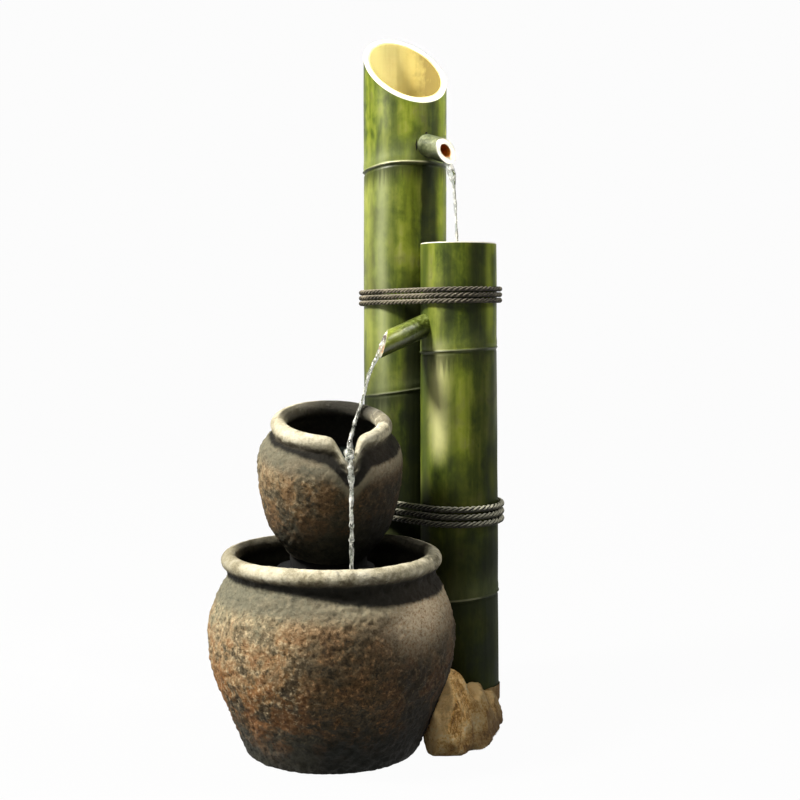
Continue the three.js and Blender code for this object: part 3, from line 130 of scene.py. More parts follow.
class Finish:
    def __init__(self, name, **constants):
        self.material = bpy.data.materials.new(name)
        self.material.use_nodes = True
        self.tree = self.material.node_tree
        self.shader = self.tree.nodes["Principled BSDF"]
        self.output = self.tree.nodes["Material Output"]
        for socket, value in constants.items():
            self.shader.inputs[socket.replace("_", " ")].default_value = value

    def node(self, kind, settings=None, inputs=None, out=0):
        made = self.tree.nodes.new("ShaderNode" + kind)
        for key, value in (settings or {}).items():
            if key == "stops":
                elements = made.color_ramp.elements
                elements.remove(elements[1])
                elements[0].position, elements[0].color = value[0]
                for position, shade in value[1:]:
                    elements.new(position).color = shade
            else:
                setattr(made, key, value)
        for key, value in (inputs or {}).items():
            if isinstance(value, Wire):
                self.tree.links.new(value.socket, made.inputs[key])
            else:
                made.inputs[key].default_value = value
        return Wire(self, made.outputs[out])

    def vector(self, operation, *values, out=0):
        return self.node("VectorMath", {"operation": operation}, dict(enumerate(values)), out)

    def place(self, stretch=(1, 1, 1), shift=(0, 0, 0)):
        """The point on the piece, in metres in the part's own frame."""
        return self.vector("MULTIPLY_ADD", self.node("TexCoord", out="Object"), stretch, shift)

    def faces(self):
        """The way that the surface faces."""
        return self.node("TexCoord", out="Normal")

    def axis(self, vector, name):
        return self.node("SeparateXYZ", inputs={0: vector}, out=name)

    def dot(self, vector, way):
        """How far a vector goes along a way."""
        return self.vector("DOT_PRODUCT", vector, way if isinstance(way, Wire) else tuple(way), out=1)

    def noise(self, size, detail=3.0, rough=0.5, stretch=(1, 1, 1), shift=(0, 0, 0), swirl=0.0):
        """Cloudy values from 0 to 1, with lumps of about that size in millimetres."""
        inputs = {"Vector": self.place(stretch, shift), "Scale": 1 / (size * MM), "Detail": detail}
        return self.node("TexNoise", None, {**inputs, "Roughness": rough, "Distortion": swirl})

    def cells(self, size):
        """Distance to the nearest of many scattered points, for pores."""
        inputs = {"Vector": self.place(), "Scale": 1 / (size * MM)}
        return self.node("TexVoronoi", None, inputs, out="Distance")

    def step(self, value, low, high):
        """0 below low, 1 above high, and a smooth climb between. low may be above high."""
        turned = low > high
        low, high = min(low, high), max(low, high)
        inputs = {"Value": value, "From Min": low, "From Max": high}
        inputs.update({"To Min": 1.0 if turned else 0.0, "To Max": 0.0 if turned else 1.0})
        return self.node("MapRange", {"interpolation_type": "SMOOTHSTEP"}, inputs)

    def mix(self, mask, low, high):
        """Colour low where the mask is 0 and colour high where it is 1. Either may be a #rrggbb."""
        low, high = (colour(v) if isinstance(v, str) else v for v in (low, high))
        settings = {"data_type": "RGBA", "clamp_factor": True}
        return self.node("Mix", settings, {0: mask, 6: low, 7: high}, out=2)

    def coats(self, under, *coats):
        """Lays one colour over another, each with its mask, from the first coat to the last."""
        for mask, over in coats:
            under = self.mix(mask, under, over)
        return under

    def ramp(self, value, *stops):
        settings = {"stops": [(at, colour(code)) for at, code in stops]}
        return self.node("ValToRGB", settings, {0: value})

    def feed(self, **wires):
        for socket, wire in wires.items():
            self.tree.links.new(wire.socket, self.shader.inputs[socket.replace("_", " ")])

    def relief(self, height, depth):
        """Fine relief that is too small for the mesh; depth in millimetres."""
        inputs = {"Height": height, "Strength": 1.0, "Distance": depth * MM}
        self.feed(Normal=self.node("Bump", None, inputs))
        return self

    def cover(self, mask, shader):
        """Lays another shader over the main one where the mask is 1."""
        both = self.node("MixShader", None, {0: mask, 2: shader})
        self.tree.links.new(self.shader.outputs[0], both.socket.node.inputs[1])
        self.tree.links.new(both.socket, self.output.inputs[0])


print("shader helpers ready")

# %% [markdown]
# ## Floor, backdrop and light
# The object stands on a plain pale floor that curves up into a backdrop. The photograph has the
# sun's look: one broad light from the front left and above, which leaves the right-hand sides of
# the culms and jars in deep shade. A large area lamp gives that with soft edges, a weak one on the
# right draws the far edges, and a dim pale world fills the shade. A narrow lamp stands in for the
# sky over the slanting cut. The world is white for camera rays, and the floor is lifted to white
# for camera, glossy and transmission rays, so that the background, and what the water and the steel
# show of it, is white without any more light falling on the object.


# %% Floor and backdrop
WHITE = (1, 1, 1, 1)


def mesh_object(name, points, faces):
    """A new object in the scene, from points in metres and faces that list them by number."""
    mesh = bpy.data.meshes.new(name)
    mesh.from_pydata(np.asarray(points).reshape(-1, 3).tolist(), [], faces)
    mesh.validate()
    made = bpy.data.objects.new(name, mesh)
    scene.collection.objects.link(made)
    return made


def studio():
    """A floor that bends up into a backdrop: one strip of wide faces."""
    width, reach, back, height, bend = 4.0, -3.0, 3.4, 4.2, 1.2
    turn = np.linspace(-math.pi / 2, 0, 17)
    cove = [(back + bend * math.cos(a), bend + bend * math.sin(a)) for a in turn]
    profile = [(reach, 0.0), *cove, (back + bend, height)]
    points = [(x, y, z) for y, z in profile for x in (-width, width)]
    faces = [(2 * i, 2 * i + 1, 2 * i + 3, 2 * i + 2) for i in range(len(profile) - 1)]
    made = mesh_object("studio_floor", points, faces)
    made.data.shade_smooth()
    return made


floor = studio()
paint = Finish("floor_paint", Roughness=0.9)
paint.feed(Base_Color=paint.ramp(paint.noise(900, 1), (0.3, "#949491"), (0.7, "#9B9B99")))
kinds = ("Is Camera Ray", "Is Glossy Ray", "Is Transmission Ray")
seen, glossy, through = (paint.node("LightPath", out=kind) for kind in kinds)
lit = paint.node("Emission", None, {"Color": WHITE, "Strength": 1.0})
paint.cover((seen + glossy + through) * 0.97, lit)
floor.data.materials.append(paint.material)
print("floor is", tuple(round(v, 2) for v in floor.dimensions), "m")


# %% World and lamps
def lamp(name, facing_deg, rise_deg, way, size, watts, tint, middle=(0.06, 0.05, 0.38)):
    """An area lamp aimed at a point; facing 0 is the camera's side, and negative is to its left."""
    middle = Vector(middle)
    facing, rise = math.radians(facing_deg), math.radians(rise_deg)
    level = Vector((math.sin(facing), -math.cos(facing), 0))
    data = bpy.data.lights.new(name, "AREA")
    data.shape, data.size, data.energy, data.color = "DISK", size, watts, tint
    made = bpy.data.objects.new(name, data)
    made.location = middle + way * (level * math.cos(rise) + Vector((0, 0, math.sin(rise))))
    made.rotation_euler = (middle - made.location).to_track_quat("-Z", "Y").to_euler()
    scene.collection.objects.link(made)
    return made


lamp("key_lamp", facing_deg=-71, rise_deg=45, way=2.4, size=0.55, watts=116, tint=(1.0, 0.965, 0.9))
lamp("front_lamp", facing_deg=-20, rise_deg=24, way=3.0, size=1.6, watts=6, tint=(1.0, 0.98, 0.94))
lamp("edge_lamp", facing_deg=86, rise_deg=46, way=2.4, size=0.7, watts=23, tint=(1.0, 0.99, 0.96))
mouth_lamp = lamp(
    "mouth_lamp", facing_deg=66, rise_deg=62, way=1.5, size=0.2, watts=0.35, tint=(1.0, 0.98, 0.92),
    middle=(0.08, 0.184, 0.72),
)
mouth_lamp.data.spread = math.radians(14)
world = scene.world or bpy.data.worlds.new("studio_world")
scene.world = world
world.use_nodes = True
sky = world.node_tree
room, backdrop = sky.nodes["Background"], sky.nodes.new("ShaderNodeBackground")
for background, strength in ((room, 0.055), (backdrop, 1.0)):
    background.inputs["Color"].default_value = WHITE
    background.inputs["Strength"].default_value = strength
rays, choice = sky.nodes.new("ShaderNodeLightPath"), sky.nodes.new("ShaderNodeMixShader")
for source, target in (
    (rays.outputs["Is Camera Ray"], choice.inputs[0]),
    (room.outputs[0], choice.inputs[1]),
    (backdrop.outputs[0], choice.inputs[2]),
    (choice.outputs[0], sky.nodes["World Output"].inputs[0]),
):
    sky.links.new(source, target)

# %% [markdown]
# ## Shapes from rows of points
# Jars, culms, canes and ropes are all skins over rings of points. Building them straight from
# arrays keeps every ring under control: a jar's grit, a culm's scar or a rope's twist is one line
# that moves the points before the mesh is made. The bumps come from seeded lattice noise, so the
# fountain is the same every time the script runs.


# %% Noise for moving points
def lattice(cells, seed):
    """A value from -1 to 1 for each grid point, mixed from its three whole numbers and the seed."""
    x, y, z = (cells[..., i].astype(np.int64).astype(np.uint32) for i in range(3))
    mixed = x * np.uint32(374761393) + y * np.uint32(668265263) + z * np.uint32(2246822519)
    mixed = mixed + np.uint32(seed * 97711 + 13)
    mixed = (mixed ^ (mixed >> np.uint32(13))) * np.uint32(1274126177)
    mixed = mixed ^ (mixed >> np.uint32(16))
    return (mixed & np.uint32(0xFFFFFF)).astype(float) / 0xFFFFFF * 2 - 1


def lumps(points, size, octaves=1, seed=0):
    """Smooth values of about -1 to 1, with lumps of that size, and finer ones on them."""
    total, weight, sum_of_weights = 0.0, 1.0, 0.0
    for octave in range(octaves):
        place = points / size + 31.7 * (seed + octave)
        cell = np.floor(place)
        way = place - cell
        way = way * way * (3 - 2 * way)
        value = 0.0
        for corner in itertools.product((0, 1), repeat=3):
            share = np.prod(np.where(np.array(corner) == 1, way, 1 - way), axis=-1)
            value = value + share * lattice(cell + np.array(corner), seed + octave)
        total = total + weight * value
        sum_of_weights += weight
        weight, size = weight * 0.55, size / 2.1
    return total / sum_of_weights


def smooth(value, low, high):
    """0 at low, 1 at high, and a smooth climb between."""
    share = np.clip((value - low) / (high - low), 0, 1)
    return share * share * (3 - 2 * share)


sample = lumps(np.arange(3000.0).reshape(-1, 3), 7, 2)
print(f"lumps run from {sample.min():.2f} to {sample.max():.2f}")


# %% Lines and circles of points
def unit(vectors):
    return vectors / np.linalg.norm(vectors, axis=-1, keepdims=True)


def circle(sides):
    """Unit vectors round a level circle, and their angles."""
    angle = np.linspace(0, 2 * math.pi, sides, endpoint=False)
    return np.stack([np.cos(angle), np.sin(angle), 0 * angle], -1), angle


def round_a_line(ring, side, up):
    """The circle's vectors, turned from X and Y to each pair of directions."""
    return ring[:, :1] * side[..., None, :] + ring[:, 1:2] * up[..., None, :]


def run_along(points):
    """How far each point lies along the line."""
    return np.concatenate([[0], np.cumsum(np.linalg.norm(np.diff(points, axis=0), axis=1))])


def points_at(marks, run, points):
    return np.stack([np.interp(marks, run, column) for column in points.T], -1)


def even(points, step):
    """The same line, with points every `step` millimetres."""
    points = np.asarray(points, float)
    run = run_along(points)
    return points_at(np.linspace(0, run[-1], max(2, int(round(run[-1] / step)) + 1)), run, points)


def rounded(points, times=2):
    """The same line with its corners cut, and its two ends kept."""
    points = np.asarray(points, float)
    for _ in range(times):
        near = points[:-1] * 0.75 + points[1:] * 0.25
        far = points[:-1] * 0.25 + points[1:] * 0.75
        points = np.concatenate([points[:1], np.stack([near, far], 1).reshape(-1, 2), points[-1:]])
    return points


print("a corner that is cut twice has", len(rounded([(0, 0), (1, 0), (1, 1)])), "points")


# %% Skins over rings
def normals_of(rings):
    """The outward direction at each point of rings that climb while their points run anticlockwise."""
    along = np.gradient(rings, axis=0)
    around = np.roll(rings, -1, axis=1) - np.roll(rings, 1, axis=1)
    out = np.cross(around, along)
    return out / np.maximum(np.linalg.norm(out, axis=-1, keepdims=True), 1e-9)


def ring_faces(count, sides, start=0, looped=False, flipped=False):
    """Four-sided faces between neighbouring rings; looped joins the last ring to the first."""
    i = np.arange(count if looped else count - 1)[:, None]
    j = np.arange(sides)[None, :]
    after, beside = (i + 1) % count, (j + 1) % sides
    corners = [i * sides + j, i * sides + beside, after * sides + beside, after * sides + j]
    faces = np.stack(np.broadcast_arrays(*corners), -1).reshape(-1, 4) + start
    return (faces[:, ::-1] if flipped else faces).tolist()


def skin(name, rings, looped=False, sharp_deg=50):
    """A closed skin, in millimetres, over rings of points; the two ends are closed flat."""
    count, sides, _ = rings.shape
    faces = ring_faces(count, sides, looped=looped)
    if not looped:
        faces.append(list(range(sides))[::-1])
        faces.append(list(range((count - 1) * sides, count * sides)))
    made = mesh_object(name, rings * MM, faces)
    made.data.shade_smooth()
    made.data.set_sharp_from_angle(angle=math.radians(sharp_deg))
    return made


def dress(piece, finish, body=FIXED, replaces=()):
    """Gives a piece its material and its body, and hides the solids that it stands for."""
    piece.data.materials.clear()
    piece.data.materials.append(finish.material)
    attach(piece, body)
    if replaces:
        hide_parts(*replaces)
    print(piece.name, len(piece.data.polygons), "faces")
    return piece


print("shape helpers ready")

# %% [markdown]
# ## Clay
# The jars are rough stoneware, the kind that is fired with ash and salt. The colour drifts from
# tan on the lit shoulder through rust to charcoal low down, cream and orange grains of sand stand
# in it, ash has left a grey band under the rim, and the rims are pale with wear. Painted shade
# darkens the side away from the key lamp almost to black, and also the lower part of that side, the
# groove under the rim, the inside and the back of the rim; a pale spot on one shoulder is a
# painted highlight. Each of these is a mask that is laid over the last one. The relief is real
# geometry down to a few millimetres, and a bump map carries only the finest grain.


# %% Clay finish
# Heights up a jar's axis in metres: the grey band starts, the groove, the roll's foot and its middle.
# The last field is how much lower the painted shadow under the roll reaches on the right, away from the
# lamp.
Rim = namedtuple("Rim", "band groove foot middle grime")


def clay(name, foot, rim, base, belly, axis, rim_at, painted_shade_at, rust_share=1.0, lip=None):
    """Fired clay. Lengths are in millimetres; base and axis give the jar's own middle line.

    painted_shade_at is where the painted shade begins across the jar, from -1 at its left to 1 at its
    right.
    lip is the way that a pouring lip points, how wide it is for its reach, and how far it drops.
    """
    made = Finish(name, Roughness=0.8, Specular_IOR_Level=0.28)
    here = made.place()
    climb = (made.axis(here, "Z") - foot * MM) / ((rim - foot) * MM)
    across = (made.axis(here, "X") - base[0] * MM) / (belly * MM)
    from_base = made.vector("SUBTRACT", here, tuple(v * MM for v in base))
    up_axis = along = made.dot(from_base, axis)
    behind = made.axis(from_base, "Y")
    if lip:
        # Round the lip the rim was drawn down, and its colours went down with it.
        way, share, drop = lip
        ahead, aside = made.dot(from_base, way), made.dot(from_base, Vector(axis).cross(way))
        off = aside / (ahead.above(0.001) * share)
        drawn_down = (off * off).fall() * made.step(ahead, 0.03, 0.05)
        along = along + drawn_down * (drop * MM)
        behind = ahead * -1.0
    drift = made.noise(70, 4, 0.6)
    patch = made.noise(30, 5, 0.65, shift=(3.1, 0.7, 1.9), swirl=0.4)
    chunk = made.noise(8, 6, 0.72, shift=(0.4, 5.2, 2.2))
    sand = made.noise(3.0, 4, 0.75, shift=(6.4, 1.2, 7.2))
    grain = made.noise(4.6, 5, 0.75, shift=(2.4, 3.2, 8.1))
    # Painted shade: the colour level falls a little towards the jar's right.
    level = climb + (drift - 0.5) * 0.7 + (chunk - 0.5) * 0.7 + (sand - 0.5) * 0.35 - across * 0.1
    body = made.ramp(
        level, (0.02, "#45423A"), (0.2, "#524C3E"), (0.36, "#644E36"), (0.54, "#957349"),
        (0.74, "#B39C77"), (0.96, "#A39C7F"),
    )
    # Rust stands in broad soft patches, and each grain of sand is a little lighter or darker.
    rust = made.step(patch, 0.47, 0.6) * made.step(climb, 0.02, 0.3) * made.step(climb, 0.92, 0.7)
    soot = made.step(patch, 0.52, 0.42) * made.step(climb, 0.95, 0.6)
    pale = made.step(grain, 0.52, 0.64) * made.step(climb, 0.1, 0.5) * (0.3 + rust_share * 0.42)
    smoke = made.step(climb + (patch - 0.5) * 0.5, 0.95, 0.5) * (0.75 * (1 - rust_share))
    body = made.coats(
        body,
        (rust * (0.3 + chunk * 0.6) * rust_share, "#925E30"),
        (soot * 0.74, "#36362C"),
        (pale, "#DCC8A2"),
        (made.step(grain, 0.47, 0.34) * 0.8, "#17150E"),
        (made.step(sand, 0.46, 0.32) * 0.45, "#1B1811"),
        (made.step(chunk, 0.45, 0.35) * 0.6, "#211D14"),
        (smoke, made.ramp(chunk, (0.4, "#3A3A2D"), (0.56, "#615B48"), (0.7, "#8A7659"))),
    )
    # Painted shade: the side away from the key lamp is painted dark, darker still low down and almost
    # black at the far right, with a few orange grains of the clay in it.
    edge = across + (drift - 0.5) * 0.9 + (patch - 0.5) * 0.6
    painted_shade = made.step(edge, painted_shade_at - 0.26, painted_shade_at + 0.26)
    low = made.step(climb + (patch - 0.5) * 0.3, 0.42, 0.12)
    orange = made.step(grain, 0.53, 0.62) * made.step(patch, 0.42, 0.54) * (1 - low)
    shaded_clay = made.coats(
        made.ramp(sand, (0.42, "#201C11"), (0.6, "#5A4930")),
        (low, "#2C2D22" if lip else "#0D0F08"),
        (orange * 0.7, "#9A6834"),
        (made.step(across, 0.35, 0.65) * 0.85, "#120F09"),
    )
    # Painted highlight: a pale spot on the right shoulder.
    off, rise = (across - 0.72) * 4.4, (climb - 0.84) * 7.0
    painted_highlight = (off * off + rise * rise).fall() * made.step(patch + chunk * 0.4, 0.46, 0.62)
    # Under the rim a grey band, painted lighter to the right as painted light, then the groove, painted
    # near black as painted shadow, which reaches lower on the right, away from the lamp.
    band = made.step(along + (patch - 0.5) * 0.02, rim_at.band - 0.012, rim_at.band + 0.004)
    grime = made.step(across, -0.5, 0.6) * rim_at.grime
    groove = along + grime + (chunk - 0.5) * 0.006
    body = made.coats(
        body,
        (painted_shade * made.step(climb + (patch - 0.5) * 0.25, 0.9, 0.74) * (0.78 + low * 0.16), shaded_clay),
        (painted_highlight, made.ramp(sand, (0.34, "#BE9468"), (0.56, "#FBE9C8"))),
        (band * (1 - painted_highlight) * 0.7, made.mix(made.step(across, -0.3, 0.5), "#68685A", "#9C967E")),
        (made.step(groove, rim_at.groove - 0.001, rim_at.groove + 0.004) * 0.96, "#0C0A06"),
    )
    # The roll is pale in blots with wear. Painted shade makes it greyer at the far left and dark brown
    # under its middle, and its dark blots are kept to the right half, partly colour and partly painted
    # shade.
    worn_and_shaded = made.coats(
        made.ramp(
            made.noise(22, 4, 0.6, shift=(1, 4, 2)) * 0.55 + sand * 0.3 + chunk * 0.2,
            (0.36, "#756D56"), (0.46, "#B8AF92"), (0.55, "#E0D8BC"), (0.66, "#F6F0DA"),
        ),
        (made.step(across, -0.45, -0.9) * 0.6, "#7D7660"),
        (made.step(along + (chunk - 0.5) * 0.01, rim_at.middle + 0.001, rim_at.foot) * 0.92, "#352D20"),
        (made.step(patch, 0.49, 0.4) * made.step(across, -0.6, 0.4) * 0.6, "#4E4738"),
    )
    on_roll = made.step(along + (sand - 0.5) * 0.003, rim_at.foot - 0.002, rim_at.foot + 0.002)
    # Painted shade: down inside it is painted dark, darker the deeper it goes, and the inner back of
    # the rim is painted dark.
    spoke = made.node("VectorMath", {"operation": "SCALE"}, {0: tuple(axis), "Scale": up_axis})
    inward = made.dot(made.faces(), made.vector("SUBTRACT", from_base, spoke))
    inside = made.step(inward, 0.0, -0.02) * made.step(along, rim_at.middle + 0.004, rim_at.foot - 0.006)
    deep = made.step(along, rim_at.foot, rim_at.foot - 0.035)
    back = made.step(behind, 0.0, 0.03) * made.step(inward, 0.012, -0.012)
    body = made.coats(
        body,
        (on_roll, worn_and_shaded),
        (inside * 0.9, made.mix(deep, "#4A463A", "#17140E")),
        (back * made.step(along, rim_at.foot - 0.01, rim_at.foot) * 0.85, "#2B261B"),
    )
    if lip:
        # Painted shade on the rim's back, away from the lip; the lip itself, where water runs, is greyer.
        turned = made.step(behind, -0.01, 0.025) * made.step(across, -0.5, 0.1)
        low_lip = drawn_down * made.step(along, rim_at.foot - 0.004, rim_at.foot)
        body = made.coats(body, (turned * 0.92, "#32302A"), (low_lip * 0.5, "#6E6B5C"))
    made.feed(Base_Color=body, Roughness=0.66 + made.noise(9, 2) * 0.35)
    return made.relief(chunk * 0.45 + grain * 0.35 + sand * 0.2, 5.0)


print("clay ready, with the parts of its rim:", ", ".join(Rim._fields))


# %% Jar outline
def level_rows(ring, line):
    """Round level rings through pairs of radius and height."""
    return [r * ring + (0, 0, z) for r, z in line]


def jar_outline(height, belly, wall, floor, neck, neck_h, rim, roll, shares):
    """Foot to rim outside and back down inside, as radius and height in millimetres."""
    neck_top = height - roll - math.sqrt(roll**2 - (neck - rim) ** 2)
    shoulder = neck_top - neck_h
    body = rounded([(r * belly, z * shoulder) for r, z in shares], 3)
    start = -math.acos((neck - rim) / roll)
    end = 2 * math.pi - math.acos((neck - wall - rim) / roll)
    turn = np.linspace(start, end, 40)
    curl = np.stack([rim + roll * np.cos(turn), height - roll + roll * np.sin(turn)], -1)
    throat = rounded([body[-1], (neck, shoulder + neck_h * 0.3), (neck, neck_top - 1), curl[2]], 3)
    outside = np.concatenate([[(body[0][0] - 3, 0.0), (body[0][0], 1.2)], body[2:-1], throat])
    inner = body[body[:, 1] > floor + wall][::-1] - (wall, 0)
    foot = inner[-1][0] - wall
    sides = rounded(np.concatenate([curl[-1:], [(neck - wall, shoulder + neck_h / 2)], inner[1:]]))
    corner = rounded([inner[-1], (foot + 2, floor + 2), (foot - 6, floor)])
    return outside, curl[3:-1], np.concatenate([sides, corner])


LARGE = dict(
    height=216.2, belly=134.5, wall=8, floor=10, neck=112.8, neck_h=12, rim=110.5, roll=9.2,
    shares=[
        (0.695, 0), (0.71, 0.015), (0.818, 0.205), (0.883, 0.33), (0.967, 0.465),
        (1, 0.645), (0.981, 0.796), (0.933, 0.89), (0.88, 0.97),
    ],
)
SMALL = dict(
    height=151.7, belly=79.4, wall=7, floor=9, neck=62.5, neck_h=4, rim=57, roll=8.7,
    shares=[
        (0.61, 0), (0.63, 0.02), (0.815, 0.18), (0.91, 0.331), (0.975, 0.53),
        (1, 0.73), (0.99, 0.83), (0.94, 0.915), (0.83, 0.99),
    ],
)


def jar_rings(shape, sides, fine=1.7, coarse=3.5):
    """Rings over the whole jar, and at which of them its outside, its roll and its inside start."""
    outside, curl, inside = jar_outline(**shape)
    outside, curl, inside = even(outside, fine), even(curl, fine), even(inside, coarse)
    start = [(r, 0.0) for r in np.linspace(4, outside[0][0], 8)[:-1]]
    end = [(r, shape["floor"]) for r in np.linspace(inside[-1][0], 4, 8)[1:]]
    line = np.concatenate([start, outside, curl[1:], inside[1:], end])
    counts = np.cumsum([len(start), len(outside), len(curl)])
    return np.array(level_rows(circle(sides)[0], line)), counts


print("points outside, round the roll and inside:", [len(line) for line in jar_outline(**LARGE)])


# %% Relief of hand-thrown clay
def weather(rings, counts, seed, grit=1.0):
    """Moves the skin along its normals: slow wobble, hammered ridges and pits, none under the foot."""
    out, row = normals_of(rings), np.arange(len(rings))[:, None]
    free = smooth(row, counts[0], counts[0] + 8)
    inner = 1 - 0.6 * smooth(row, counts[2], counts[2] + 4)
    curl = (row >= counts[1]) & (row < counts[2])
    slow = 0.8 * lumps(rings, 60, 2, seed) + 0.3 * lumps(rings * (1, 1, 3), 40, 2, seed + 3)
    ridges = 0.45 - np.abs(lumps(rings, 15, 3, seed + 7)) * 1.6
    rough = lumps(rings, 6.0, 3, seed + 9)
    pits = -np.clip(lumps(rings, 5, 2, seed + 12) - 0.3, 0, 1) * 1.8
    fine = (1.2 * ridges + 2.3 * rough) * np.where(curl, 0.2, 1.0) + pits * np.where(curl, 0.6, 1.0)
    return rings + out * ((slow + grit * fine - 0.4) * free * inner)[..., None]


print("jar helpers ready")

# %% [markdown]
# ## Large jar
# A wide jar with a rolled rim. It is turned like a pot: one outline, from the middle of the foot up
# the outside, round the roll and down the inside to the floor. The finish adds the grey band under
# the rim, the painted shadow in the groove below the roll, and the pale rim.

# %% Build the large jar
rings, counts = jar_rings(LARGE, sides=440)
large_jar = skin("large_jar_clay", weather(rings, counts, seed=5))
large_clay = clay(
    "large_jar_clay", foot=0, rim=200, base=(0, 0, 0), belly=LARGE["belly"], axis=(0, 0, 1),
    rim_at=Rim(band=0.171, groove=0.190, foot=0.199, middle=0.2085, grime=0.016), painted_shade_at=-0.2,
)
dress(large_jar, large_clay, FIXED, ["large_jar"])

# %% [markdown]
# ## Small jar
# The same pot at a smaller size, tipped towards the front, with one side of its rim drawn out and
# down into a narrow pouring lip. The lip is a smooth pull on the same rings, which also thins the
# roll, as a potter's finger does. So the roll stays one piece, and its colours go down with it.
# A drip of clay hangs under it. This jar is greyer than the large one.

# %% Build the small jar
SMALL_BASE = (-5.5, 35.5, 213)
SMALL_TILT_DEG, SMALL_FACING_DEG, SMALL_TURN_DEG = 14.5, -81, 11
LIP = dict(half_deg=10, thin_deg=38, reach=12, drop=21, start=38, end=10)
small_place = (
    Matrix.Translation(SMALL_BASE)
    @ Matrix.Rotation(math.radians(SMALL_FACING_DEG), 4, "Z")
    @ Matrix.Rotation(math.radians(SMALL_TILT_DEG), 4, "Y")
    @ Matrix.Rotation(math.radians(SMALL_TURN_DEG), 4, "Z")
)


def placed(points, place):
    matrix = np.array(place)
    return points @ matrix[:3, :3].T + matrix[:3, 3]


def pull_lip(points):
    """Draws the rim out and down into a narrow channel, and thins the roll towards it."""
    x, y, z = points[..., 0], points[..., 1], points[..., 2]
    reach, turn = np.maximum(np.hypot(x, y), 1), np.degrees(np.arctan2(y, x))
    near, wide = (np.exp(-((turn / LIP[half]) ** 2)) for half in ("half_deg", "thin_deg"))
    out, up = reach - SMALL["rim"], z - (SMALL["height"] - SMALL["roll"])
    on_roll = 1 - smooth(np.hypot(out, up), SMALL["roll"] + 0.5, SMALL["roll"] + 6)
    thin = 1 - (0.2 * wide + 0.3 * near) * on_roll
    out, z = out * thin, SMALL["height"] - SMALL["roll"] + up * thin
    rise = smooth(z, SMALL["height"] - LIP["start"], SMALL["height"] - LIP["end"])
    pull = (SMALL["rim"] + out + LIP["reach"] * near * rise) / reach
    return np.stack([x * pull, y * pull, z - LIP["drop"] * near * rise], -1)


def drip_rings(sides=40):
    """The drop of clay under the lip: a squat round form that narrows downwards."""
    turn = np.linspace(-math.pi / 2 + 0.08, math.pi / 2 - 0.08, 26)[:, None, None]
    rows = np.cos(turn) * circle(sides)[0] + np.sin(turn) * (0, 0, 1.0)
    middle = (SMALL["rim"] + LIP["reach"] - 2.5, 0, SMALL["height"] - 34)
    return rows * (6.5, 7.0, 9.0) + middle


rings, counts = jar_rings(SMALL, sides=340, fine=1.5, coarse=3)
rings = weather(pull_lip(rings), counts, seed=21, grit=0.6)
small_jar = skin("small_jar_clay", placed(rings, small_place))
drip = drip_rings()
drip = drip + normals_of(drip) * 0.5 * lumps(drip, 6, 2, 40)[..., None]
lip_drip = skin("small_jar_lip_drip", placed(drip, small_place))

small_turn = small_place.to_3x3()
small_clay = clay(
    "small_jar_clay", foot=213, rim=350, base=SMALL_BASE, belly=SMALL["belly"],
    axis=small_turn @ Vector((0, 0, 1)), painted_shade_at=0.08, rust_share=0.5,
    rim_at=Rim(band=0.1145, groove=0.1275, foot=0.134, middle=0.1425, grime=0.01),
    lip=(small_turn @ Vector((1, 0, 0)), math.tan(math.radians(LIP["half_deg"] + 1)), 20),
)
dress(small_jar, small_clay, "small_jar", ["small_jar"])
dress(lip_drip, small_clay, "small_jar")

# %% [markdown]
# ## Bamboo
# A culm is a tube with a ring at each node, and inside each ring a thin diaphragm closes it. The
# rings of points go up the outside, over the cut and down the hollow, and on through the holes in
# the diaphragms, so that the culm is as hollow as its solid. The green comes in long streaks that
# follow the fibres, mossy towards each node, with a painted shadow under each ring and a pale bloom
# above it. Strips along the fibres are set one by one: the pale ones are painted highlights and the
# dark ones painted shade, and a dark band of painted shade runs down each culm's right side and over
# its lower part. The slanting cut is almost white, pithy towards the middle, and the hollow behind it
# is straw yellow, painted darker to the right as painted shade. One finish does all of it: the
# height along the culm sets the moss and bloom, and the distance from its axis tells skin from hollow.

# %% Culm sizes
TALL_AT, TALL_R, TALL_WALL = np.array([80.2, 184.0]), 50.0, 7.3
CUT_Z, CUT_SLOPE, CUT_FACING = 764.0, math.radians(42.4), math.radians(-69.1)
# Each node's height, its lean in degrees, its droop at the left and how pale its line is.
TALL_NODES = [(118, 0, 0, 0.3), (380, 9, 0, 0.1), (649, 0, 8, 0.75)]
SHORT_TOP, SHORT_LEAN = np.array([141.5, 109.0, 552.0]), np.array([3.5, 2.0])
SHORT_TOP_R, SHORT_FOOT_R, SHORT_WALL = 43.9, 46.2, 7.0
SHORT_NODES = [(144, 5.7, 0, 0.3), (430, 3.8, 0, 0.12)]
CULM_FOOT, CULM_SIDES, DIAPHRAGM, RISER_HOLE, DRAIN_HOLE, VENT_HOLE = 16.3, 180, 4.0, 11.1, 4, 3.0
print("nodes of the tall and the short culm:", len(TALL_NODES), len(SHORT_NODES))


# %% Culm shapes
def node_relief(dz, size):
    """The scar round a node: a groove under a thin raised line, and a slow swelling."""
    line = 1.75 * np.exp(-((dz / 1.15) ** 2)) - 0.8 * np.exp(-(((dz + 3.0) / 1.5) ** 2))
    return size * line + 0.55 * np.exp(-(((dz - 5.5) / 5.0) ** 2)) - 0.25 * np.exp(-((dz / 22) ** 2))


